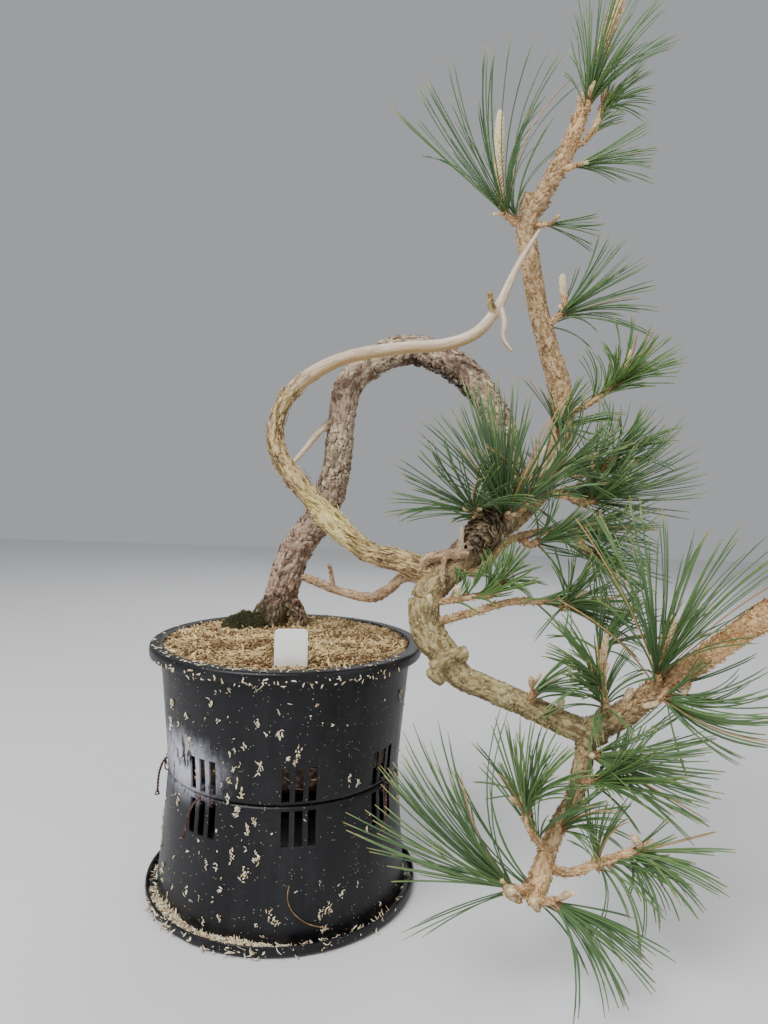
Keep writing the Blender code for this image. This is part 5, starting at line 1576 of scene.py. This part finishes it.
def tuft_spikes(number, route):
    """The knot's centre and the tips of its spikes, in mm from the pot axis."""
    node = cad_nodes["needles_%02d" % number]
    points = np.array([node.matrix_world @ v.co for v in node.data.vertices])
    points = np.unique(np.round((points - pot_axis) / MM, 2), axis=0)
    tip, heading = end_of(route)
    centre = tip + heading * (KNOT + GAP)
    tips = points[np.linalg.norm(points - centre, axis=1) > 2.0 * KNOT]
    kept_tips = []
    for point in tips:
        if all(np.linalg.norm(point - other) > 1.0 for other in kept_tips):
            kept_tips.append(point)
    return centre, heading, np.array(kept_tips)


def uv_cells(mesh, count, cells):
    """Give each of count equal batches of points its own cell of a square sheet, for painting."""
    across = math.ceil(math.sqrt(count))
    each = len(cells)
    index = np.zeros(len(mesh.loops), np.int32)
    mesh.loops.foreach_get("vertex_index", index)
    item = np.minimum(index // each, count - 1)
    corner = cells[index % each]
    place = np.stack([item % across, item // across], axis=1)
    uv = (place + 0.06 + corner * 0.88) / across
    layer = mesh.uv_layers.new(name="OFBake")
    layer.data.foreach_set("uv", uv.astype(np.float32).ravel())


def tube_cells(rings, sides):
    turn = np.abs(np.arange(sides) * 2.0 / sides - 1.0)
    u = np.concatenate([np.tile(turn, rings), [0.5, 0.5]])
    v = np.concatenate([np.repeat(np.linspace(0.0, 1.0, rings), sides), [0.0, 1.0]])
    return np.stack([u, v], axis=1)


print("spikes of the first tuft:", len(tuft_spikes(1, SHOOTS[0][0])[2]))


# %% Grow the pairs of one tuft
def spray_tips(route, pairs, reach):
    """Where the first needles of a spray should end, on a cone that leans up and outward."""
    foot, heading = end_of(route)
    lean = heading * 0.5 + np.array([0.35, -0.30, 0.35])
    spread = unit(rng.normal(0.0, 0.62, (pairs, 3)) + lean)
    return foot, heading, foot + spread * (reach * rng.uniform(0.72, 1.0, (pairs, 1)))


def grow_tuft(name, route, fresh, bundles, spikes_found, replaced):
    """Needle pairs from a shoot's last stretch towards the tips; returns how many needles."""
    centre, heading, tips = spikes_found
    spikes = len(tips)
    pairs = rng.poisson(bundles, spikes) + 1
    host = np.repeat(np.arange(spikes), pairs)
    shoot = follow([(*p, 1.0) for p in route])[0][:, :3]
    shoot_travel = np.concatenate([[0.0], np.cumsum(np.linalg.norm(np.diff(shoot, axis=0), axis=1))])
    reach = np.linalg.norm(tips - centre, axis=1)[host]
    aim = unit(tips - centre)[host]
    count = len(host)
    first = np.zeros(count, bool)
    first[np.concatenate([[0], np.cumsum(pairs)[:-1]])] = True
    spread = np.where(first, 0.03, 0.24)[:, None]
    aim = unit(aim + rng.normal(0.0, 1.0, (count, 3)) * spread)
    length = reach * np.where(first, 0.98, rng.uniform(0.55, 1.0, count))
    back = np.where(first, 0.3, rng.random(count)) ** 1.5 * min(30.0, shoot_travel[-1] * 0.8)
    place = np.maximum(shoot_travel[-1] - back, 0.0)
    foot = blend_rows(place, shoot_travel, shoot) + aim * 1.2
    length = np.where(first, np.linalg.norm(tips[host] - foot, axis=1) * 0.98, length)
    aim = np.where(first[:, None], unit(tips[host] - foot), aim)
    bow = unit(np.cross(aim, rng.normal(0.0, 1.0, (count, 3))))
    bow = unit(bow + np.array([0.0, 0.0, -0.25]))
    bend = np.where(first, 0.05, 0.09) + rng.normal(0.0, 0.08, count)
    part = unit(np.cross(aim, rng.normal(0.0, 1.0, (count, 3))))
    t = np.linspace(0.0, 1.0, NEEDLE_RINGS)
    paths = []
    for twin in (-1.0, 1.0):
        own_bend = bend + rng.normal(0.0, 0.022, count)
        own_length = length * rng.uniform(0.93, 1.0, count)
        elbow = foot + unit(aim + heading * 0.55) * (own_length * 0.5)[:, None]
        end = foot + aim * own_length[:, None]
        weights = ((1.0 - t) ** 2, 2.0 * t * (1.0 - t), t * t)
        spine = sum(point[:, None] * weight[:, None] for point, weight in zip((foot, elbow, end), weights))
        spine = spine + bow[:, None] * (own_bend[:, None] * own_length[:, None] * (t * t)[None])[..., None]
        apart = 0.35 + 0.028 * own_length[:, None] * (t ** 1.4)[None] * rng.uniform(0.4, 1.5, count)[:, None]
        paths.append(spine + part[:, None] * (twin * apart)[..., None])
    paths = np.concatenate(paths)
    paths[:, :, 2] = np.maximum(paths[:, :, 2], FLOOR_CLEAR + np.linspace(0.4, 0.0, NEEDLE_RINGS))
    total = len(paths)
    taper = np.interp(t, [0.0, 0.05, 0.12, 0.6, 0.92, 1.0], [1.25, 1.40, 0.95, 1.0, 0.95, 0.5])
    radii = NEEDLE_RADIUS * taper[None] * rng.uniform(0.85, 1.12, total)[:, None]
    points, faces, run = tubes(paths, radii, NEEDLE_SIDES)
    each = NEEDLE_RINGS * NEEDLE_SIDES + 2
    lengths = np.repeat(np.linalg.norm(paths[:, -1] - paths[:, 0], axis=1), each)
    tone = np.repeat(rng.random(total), each)
    own_fresh = np.clip(np.repeat(rng.normal(fresh, 0.13, total), each), 0.0, 1.0)
    dead = np.repeat((rng.random(total) < 0.022).astype(float), each)
    fields = {"run": run, "tone": tone, "fresh": own_fresh, "dead": dead, "from_foot": run * lengths,
            "drawn": np.stack([run * lengths * MM, tone, points[:, 0] * MM], axis=1)}
    piece = make_piece(name, points * MM + pot_axis, faces, needle_finish, replaced,
            fields=fields)
    uv_cells(piece.data, total, tube_cells(NEEDLE_RINGS, NEEDLE_SIDES))
    return total


print("tufts:", len(SHOOTS), "and sprays:", len(SPRAYS))


# %% Grow every tuft
grown_needles = 0
for number, (route, radius, fresh, bundles) in enumerate(SHOOTS, 1):
    wanted = bundles * BUNDLE_SHARE
    grown_needles += grow_tuft("pine_needles_%02d" % number, route, fresh, wanted,
            tuft_spikes(number, route), ["needles_%02d" % number])
for number, (route, (_, pairs, reach, fresh)) in enumerate(zip(spray_routes, SPRAYS), 1):
    grown_needles += grow_tuft("pine_spray_%02d" % number, route, fresh, 0.15,
            spray_tips(route, pairs, reach), [])
print("needles:", grown_needles)

# %% [markdown]
# ## Candles and buds
# In spring the shoots end in candles: pale buds wrapped in spiralling scales, cream at the tip and
# brown where the scales have dried. The tall ones have stretched already and stand like tapers.
# Each is a slender turned core with hundreds of small scales laid up it in a spiral.

# %% Finish and shape of a bud
bud_finish = make_strand_finish("papery_bud_scales", (0.84, 0.71, 0.46, 1.0), (0.42, 0.22, 0.09, 1.0))
BUD_MARKS = (0.0, 0.12, 0.35, 0.70, 0.88, 0.96, 1.0)
BUD_GIRTHS = (0.62, 0.88, 0.96, 1.0, 0.84, 0.52, 0.15)
TURN_OF_SCALES = 2.399963


def as_triangles(quads):
    return np.concatenate([quads[:, [0, 1, 2]], quads[:, [0, 2, 3]]])


def bud_batch(foot, aim, length, width, pale):
    """One bud in mm: its core and its spiral of scales, as two batches."""
    aim = unit(np.asarray(aim, float))
    side = unit(np.cross(aim, np.array([0.2, 0.9, 0.3])))
    other = np.cross(aim, side)
    t = np.linspace(0.0, 1.0, 14)
    bow = 0.02 * length * np.sin(t * math.pi)
    path = foot + aim * (t * length)[:, None] + side * bow[:, None]
    profile = np.interp(t, BUD_MARKS, BUD_GIRTHS) * width / 2
    points, faces, run = tubes(path[None], profile[None] * 0.86, 10)
    tone = np.clip(0.35 + 0.55 * run * pale, 0.0, 1.0)
    core = (points * MM + pot_axis, faces, {"tone": tone, "drawn": np.stack(
        [run * length * MM, points[:, 0] * MM, points[:, 2] * MM], axis=1)})
    count = int(max(26, length * 4.6))
    share = (np.arange(count) + 0.5) / count * 0.98
    turn = np.arange(count) * TURN_OF_SCALES
    out = side * np.cos(turn)[:, None] + other * np.sin(turn)[:, None]
    girth = np.interp(share, BUD_MARKS, BUD_GIRTHS) * width / 2
    sway = 0.02 * length * np.sin(share * math.pi)
    spots = foot + aim * (share * length)[:, None] + out * (girth * 0.93)[:, None] + side * sway[:, None]
    tilt = np.radians(rng.uniform(3.0, 15.0, count))[:, None]
    spine = aim * np.cos(tilt) + out * np.sin(tilt)
    face = out * np.cos(tilt) - aim * np.sin(tilt)
    size = np.clip(width * 0.62, 1.6, 3.6)
    flake_points, flake_faces = flakes(spots * MM + pot_axis, spine, face, np.full(count, size) * MM,
            np.full(count, size * 0.5) * MM, np.full(count, 0.3) * MM,
            rng.uniform(-0.05, 0.15, count), 0.2)
    each = FLAKE_STEPS * 4
    tip_run = np.tile(np.repeat(np.linspace(0.0, 1.0, FLAKE_STEPS), 4), count)
    flake_tone = np.repeat(0.30 + 0.75 * share * pale + rng.normal(0.0, 0.10, count), each)
    flake_tone = flake_tone - 0.30 * (tip_run > 0.9)
    drawn = np.stack([tip_run * 0.004, np.repeat(rng.random(count), each), flake_points[:, 0]], axis=1)
    scale_fields = {"tone": np.clip(flake_tone, 0.0, 1.0), "drawn": drawn}
    return [core, (flake_points, as_triangles(flake_faces), scale_fields)]


def make_buds(name, buds, replaced=()):
    """One piece from a list of buds, each a foot, aim, length, width and paleness."""
    batches = [batch for bud in buds for batch in bud_batch(*bud)]
    points, faces, fields = stack(batches)
    make_piece(name, points, faces, bud_finish, replaced, fields=fields)


print("bud finish:", bud_finish.name)


# %% Stand the candles and add the small buds
# tuft number, aim, length and width in mm, how pale
CANDLES = [
    (1, (-0.05, -0.02, 1.0), 80, 9.0, 1.0), (6, (-0.15, -0.05, 1.0), 26, 6.4, 0.9),
    (7, (0.1, -0.1, 1.0), 20, 5.6, 0.9), (8, (0.45, -0.1, 0.9), 58, 5.2, 0.8),
    (11, (0.1, -0.2, 1.0), 14, 5.0, 0.8), (13, (0.8, -0.4, 0.6), 14, 5.2, 0.9),
    (16, (0.2, -0.1, 0.97), 34, 8.8, 0.6), (17, (0.0, -0.2, 1.0), 28, 5.0, 0.6),
    (21, (-0.5, -0.5, 0.7), 13, 5.8, 0.8), (22, (0.1, -0.8, 0.4), 12, 6.0, 0.9),
]


def knot_of(number):
    tip, heading = end_of(SHOOTS[number - 1][0])
    return tip + heading * (KNOT + GAP)


for index, (number, aim, length, width, pale) in enumerate(CANDLES, 1):
    foot = knot_of(number) + unit(np.array(aim, float)) * (KNOT * 0.4)
    make_buds("candle_bud_%02d" % index, [(foot, aim, length + KNOT * 0.6, width, pale)],
            ["candle_%02d" % index])
extra_buds = []
for number in range(1, len(SHOOTS) + 1):
    heading = end_of(SHOOTS[number - 1][0])[1]
    for _ in range(int(rng.integers(1, 4))):
        lean = unit(heading + rng.normal(0.0, 0.42, 3) + np.array([0.0, -0.15, 0.35]))
        foot = knot_of(number) - heading * rng.uniform(1.0, 5.0) + lean
        length, width, pale = rng.uniform(8.0, 13.0), rng.uniform(3.0, 4.4), rng.uniform(0.4, 1.0)
        extra_buds.append((foot, lean, length, width, pale))
# foot in mm from the pot axis, aim, length, width, how pale
BARK_BUDS = [
    ((217, -78, 176), (0.1, -0.3, 1.0), 12, 5.4, 0.9), ((300, -113, 211), (-0.6, -0.5, -0.6), 11, 4.6, 0.6),
    ((193, -139, 58), (-0.4, -0.5, 0.8), 13, 5.4, 0.8), ((181, -136, 62), (-0.7, -0.4, 0.6), 14, 5.6, 0.7),
    ((263, -90, 186), (0.1, -0.4, 0.9), 16, 6.0, 0.8), ((140, -60, 258), (-0.2, -0.5, 0.8), 12, 5.0, 1.0),
    ((120, -56, 250), (-0.3, -0.4, 0.8), 11, 4.6, 0.9), ((170, -40, 330), (0.1, -0.4, 0.9), 17, 5.4, 0.7),
    ((186, -38, 338), (0.2, -0.3, 0.9), 13, 4.6, 0.7),
]
extra_buds += [(np.array(foot, float), *rest) for foot, *rest in BARK_BUDS]
make_buds("small_buds", extra_buds)
print("buds:", len(CANDLES), "candles and", len(extra_buds), "small ones")

# %% [markdown]
# ## Moss, label and wire
# A cushion of moss grows against the foot of the trunk. The label is a blank white strip with
# rounded corners, a little grubby where it enters the dressing. Twisted copper wire ties the two
# pots together through their slots.

# %% Grow the moss cushion
moss_low, moss_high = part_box("moss_patch")


def make_moss_finish():
    mat, tree, shader = new_material("cushion_moss", (0.07, 0.1, 0.03))
    place = object_place(tree)
    clumps = noise(tree, place, 160.0, 4.0, 0.7)
    fine = noise(tree, place, 1300.0, 3.0, 0.7)
    tone = plus(tree, times(tree, clumps, 0.7), times(tree, fine, 0.35))
    colour = ramp(tree, tone, [(0.30, (0.012, 0.012, 0.006)), (0.48, (0.05, 0.045, 0.018)),
            (0.60, (0.07, 0.085, 0.022)), (0.78, (0.19, 0.20, 0.06)),
            (0.92, (0.36, 0.31, 0.16))])
    finish_surface(tree, shader, colour, line(tree, fine, 0.2, 0.75), fine, 0.0008, 0.9)
    return mat


moss_finish = make_moss_finish()
moss_mid = (np.array(moss_low) + np.array(moss_high)) / 2
moss_half = (np.array(moss_high) - np.array(moss_low)) / 2
MOSS_RISE = (moss_high.z - moss_low.z) * 1.8
blade_count = 4200
turn = rng.random(blade_count) * 2.0 * math.pi
out = np.sqrt(rng.random(blade_count))
mound_x = moss_mid[0] + moss_half[0] * 1.02 * out * np.cos(turn)
mound_y = moss_mid[1] + moss_half[1] * 1.02 * out * np.sin(turn)
clump = soft_field(np.stack([mound_x, mound_y, mound_x * 0.0], axis=1) * 160.0, 71)
mound_z = moss_low.z + MOSS_RISE * (1.0 - out ** 2) * (0.45 + 0.6 * clump) - 0.001
blade_foot = np.stack([mound_x, mound_y, mound_z], axis=1)
blade_aim = unit(rng.normal(0.0, 0.5, (blade_count, 3)) + UP
        + 0.6 * (blade_foot - moss_mid) / moss_half.max())
t = np.linspace(0.0, 1.0, 4)
blade_length = rng.uniform(0.0016, 0.0036, blade_count)
blade_paths = blade_foot[:, None] + blade_aim[:, None] * (t[None] * blade_length[:, None])[..., None]
blade_taper = np.interp(t, [0.0, 0.4, 1.0], [0.9, 1.0, 0.25])
blade_radii = blade_taper[None] * rng.uniform(0.0002, 0.00042, blade_count)[:, None]
points, faces, _ = tubes(blade_paths, blade_radii, 3)
make_piece("moss_blades", points, faces, moss_finish)
print("moss blades", blade_count)

# %% Set the cushion under the blades
grid = 46
side = np.linspace(-1.0, 1.0, grid)
gx, gy = np.meshgrid(side, side, indexing="ij")
disc_x = gx * np.sqrt(1.0 - gy * gy / 2)
disc_y = gy * np.sqrt(1.0 - gx * gx / 2)
disc_x = disc_x.ravel()
disc_y = disc_y.ravel()
top = moss_mid + moss_half * np.stack([disc_x, disc_y, disc_x * 0.0], axis=1)
top[:, 2] = 0.0
clump = soft_field(top * 160.0, 71)
fine = soft_field(top * 700.0, 72)
round_off = np.clip(1.0 - disc_x ** 2 - disc_y ** 2, 0.0, 1.0)
top[:, 2] = moss_low.z - 0.0012 + MOSS_RISE * round_off * (0.45 + 0.6 * clump) + 0.0009 * fine
top_faces = sheet_faces(grid, grid, False)
bottom = top.copy()
bottom[:, 2] = moss_low.z - 0.002
cushion = np.concatenate([top, bottom])
loop = np.concatenate([np.arange(grid) * grid, (grid - 1) * grid + np.arange(1, grid),
        np.arange(grid - 2, -1, -1) * grid + grid - 1, np.arange(grid - 2, 0, -1)])
after = np.roll(loop, -1)
side_faces = np.stack([loop, loop + grid * grid, after + grid * grid, after], axis=1)
all_faces = np.concatenate([top_faces, top_faces[:, ::-1] + grid * grid, side_faces[:, ::-1]])
make_piece("moss_cushion", cushion, all_faces, moss_finish, ["moss_patch"])
print("moss cushion faces", len(all_faces))


# %% Cut the label
def make_label_finish():
    mat, tree, shader = new_material("blank_white_label", (0.85, 0.85, 0.83))
    place = object_place(tree)
    film = use_group(tree, film_group, {"Place": place, "Amount": 0.3, "Speck size": 700.0})
    height = add(tree, "ShaderNodeSeparateXYZ", {0: place}).outputs["Z"]
    low_down = mask_ramp(tree, height, rim_plane + 0.008, rim_plane)
    grub = plus(tree, times(tree, low_down, 0.5), times(tree, film["Mask"], 0.5), clamp=True)
    colour = blend_colour(tree, grub, (0.86, 0.86, 0.84, 1.0), (0.55, 0.47, 0.36, 1.0))
    rough = line(tree, film["Mask"], 0.3, 0.34)
    finish_surface(tree, shader, colour, rough, film["Height"], 0.00008, 0.4)
    return mat


LABEL_WIDTH = 24.5
LABEL_LENGTH = 58.0
LABEL_CORNER = 3.5
LABEL_POINT = 12.0
label_low, label_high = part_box("plant_label")
label_middle = (np.array(label_low) + np.array(label_high)) / 2
half_width = LABEL_WIDTH / 2
shoulder = LABEL_LENGTH / 2 - LABEL_CORNER
straight = LABEL_LENGTH - LABEL_CORNER - LABEL_POINT
outline = []
for way, first in ((1, 0), (-1, 90)):
    outline += arc(way * (half_width - LABEL_CORNER), shoulder, LABEL_CORNER, first, first + 90, 9)
outline += [(-half_width, shoulder - straight * share) for share in np.linspace(0.0, 1.0, 8)]
outline += [(-3.0, -LABEL_LENGTH / 2), (3.0, -LABEL_LENGTH / 2)]
outline += [(half_width, shoulder - straight * share) for share in np.linspace(1.0, 0.0, 8)]
outline = np.array(outline)
shrink = np.array([0.975, 0.99])
bend = 0.6 * (1.0 - (outline[:, 0] / half_width) ** 2)
layers = []
for depth, scale in ((-0.6, shrink), (-0.42, 1.0), (0.42, 1.0), (0.6, shrink)):
    flat = outline * scale
    layers.append(np.stack([flat[:, 0], depth - bend * 0.35, flat[:, 1]], axis=1))
rings = np.stack(layers)
count = len(outline)
mesh = bpy.data.meshes.new("plant_label_strip")
faces = [tuple(range(count))[::-1], tuple(range(3 * count, 4 * count))]
for layer in range(3):
    start = layer * count
    for j in range(count):
        k = (j + 1) % count
        faces.append((start + j, start + k, start + count + k, start + count + j))
LABEL_TWIST = 4.0
spin = Matrix.Rotation(math.radians(LABEL_TWIST), 3, "Z")
label_points = (rings.reshape(-1, 3) * MM) @ np.array(spin).T + label_middle
mesh.from_pydata(label_points.tolist(), [], faces)
mesh.update()
label_piece = bpy.data.objects.new("plant_label_strip", mesh)
show(label_piece)
mesh.materials.append(make_label_finish())
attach(label_piece, "root")
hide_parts("plant_label")
print("label", LABEL_WIDTH, "x", LABEL_LENGTH, "mm, blank")


# %% Twist the wire ties
def make_wire_finish():
    mat, tree, shader = new_material("weathered_copper_wire", (0.35, 0.14, 0.08))
    place = object_place(tree)
    tarnish = noise(tree, place, 240.0, 4.0, 0.65)
    fine = noise(tree, place, 1500.0, 2.0, 0.6)
    colour = ramp(tree, tarnish, [(0.3, (0.045, 0.028, 0.030)), (0.5, (0.13, 0.070, 0.060)),
            (0.7, (0.30, 0.155, 0.125))])
    finish_surface(tree, shader, colour, line(tree, tarnish, 0.4, 0.28), fine, 0.0001, 0.5)
    shader.inputs["Metallic"].default_value = 0.85
    return mat


wire_finish = make_wire_finish()
WIRE = 0.0006
TWISTS = 6.5


def smooth_path(places):
    """A smooth line in metres through places in metres."""
    stops = np.concatenate([np.array(places) / MM, np.full((len(places), 1), 1.0)], axis=1)
    return follow(stops)[0][:, :3] * MM


def bend_tie(name, node, group, way):
    """A tie round one bar of both pots, then a twisted pair of strands hanging outside."""
    step = SLOT_PITCH / BASE
    middle = math.radians(FIRST_GROUP + 360.0 / SLOT_GROUPS * group - 90.0) + way * step / 2
    outer = BASE + 0.0022
    inner = BASE - WALL - 0.0022
    middle_r = BASE - WALL / 2
    up = waist + 0.0050
    low = waist - 0.0050

    def at(turn, radius, z):
        angle = middle + turn * step
        return pot_axis + np.array([radius * math.cos(angle), radius * math.sin(angle), z])

    loop = [at(-0.45, outer + 0.0006, waist), at(-0.5, outer, up - 0.0008), at(-0.5, middle_r, up + 0.0006),
            at(-0.47, inner + 0.0006, up + 0.0012), at(0.0, inner, up + 0.0016),
            at(0.47, inner + 0.0006, up + 0.0012), at(0.5, middle_r, up + 0.0006),
            at(0.5, outer, up - 0.0008), at(0.45, outer + 0.0004, waist),
            at(0.5, outer, low + 0.0008), at(0.5, middle_r, low - 0.0006),
            at(0.47, inner + 0.0006, low - 0.0012), at(0.0, inner, low - 0.0016),
            at(-0.47, inner + 0.0006, low - 0.0012), at(-0.5, middle_r, low - 0.0006),
            at(-0.5, outer, low + 0.0008), at(-0.45, outer + 0.0006, waist)]
    lean = -way * 0.5
    tail = [at(-0.45, outer + 0.0008, waist + 0.001),
            at(-0.60 + lean * 0.3, outer + 0.0035, waist - 0.003),
            at(-0.75 + lean * 0.6, outer + 0.0062, waist - 0.012),
            at(-0.80 + lean * 0.9, outer + 0.0070, waist - 0.024),
            at(-1.10 + lean * 0.9, outer + 0.0078, waist - 0.031)]
    spine = smooth_path(tail)
    ahead = unit(np.gradient(spine, axis=0))
    side = unit(np.cross(ahead, np.array([0.3, 0.2, 0.9])))
    other = np.cross(ahead, side)
    turns = np.linspace(0.0, TWISTS * 2.0 * math.pi, len(spine) * 4)
    fine = np.linspace(0, len(spine) - 1, len(turns))
    whole = np.arange(len(spine))
    centre, across, aside = (blend_rows(fine, whole, rows) for rows in (spine, side, other))
    strands = []
    for start in (0.0, math.pi):
        open_end = 1.0 + 2.2 * fade(np.linspace(0.0, 1.0, len(turns)), 0.82, 1.0)
        away = (across * np.cos(turns + start)[:, None] + aside * np.sin(turns + start)[:, None])
        strands.append(centre + away * (WIRE * 0.92 * open_end)[:, None])
    parts = [tubes(path[None], np.full((1, len(path)), WIRE), 8) for path in strands + [smooth_path(loop)]]
    points, faces, _ = stack([(p, f, {}) for p, f, _ in parts])
    make_piece(name, points, faces, wire_finish, [node])


for index, (group, way) in enumerate(((-1, 1), (1, 1), (-2, -1), (4, 1)), 1):
    bend_tie("twisted_tie_%d" % index, "wire_tie_%d" % index, group, way)
print("wire ties bent")

# %% [markdown]
# ## Small things lying about
# A long dead needle has dropped against the stand pot, and a thin dark twig lies by the moss.
# They tell that the plant lives outdoors.

# %% Lay the litter
litter = [
    ([around(10, 0.1035, 0.048), around(9.5, 0.1042, 0.038), around(12, 0.1051, 0.028),
      around(18, 0.1064, 0.019), around(26, 0.1100, 0.0145)], 0.00045, 0.3),
    ([spot(-60, 22, 214), spot(-46, 24, 219), spot(-33, 27, 222), spot(-26, 30, 221)], 0.0007, 0.05),
]
litter_batches = []
for stops, girth, tone in litter:
    path = smooth_path(stops)
    points, faces, run = tubes(path[None], np.full((1, len(path)), girth), 6)
    drawn = np.stack([run * 0.05, points[:, 0], points[:, 2]], axis=1)
    litter_batches.append((points, faces, {"tone": np.full(len(points), tone), "drawn": drawn}))
points, faces, fields = stack(litter_batches)
make_piece("fallen_needle_and_twig", points, faces, husk_finish, fields=fields)
print("litter laid")
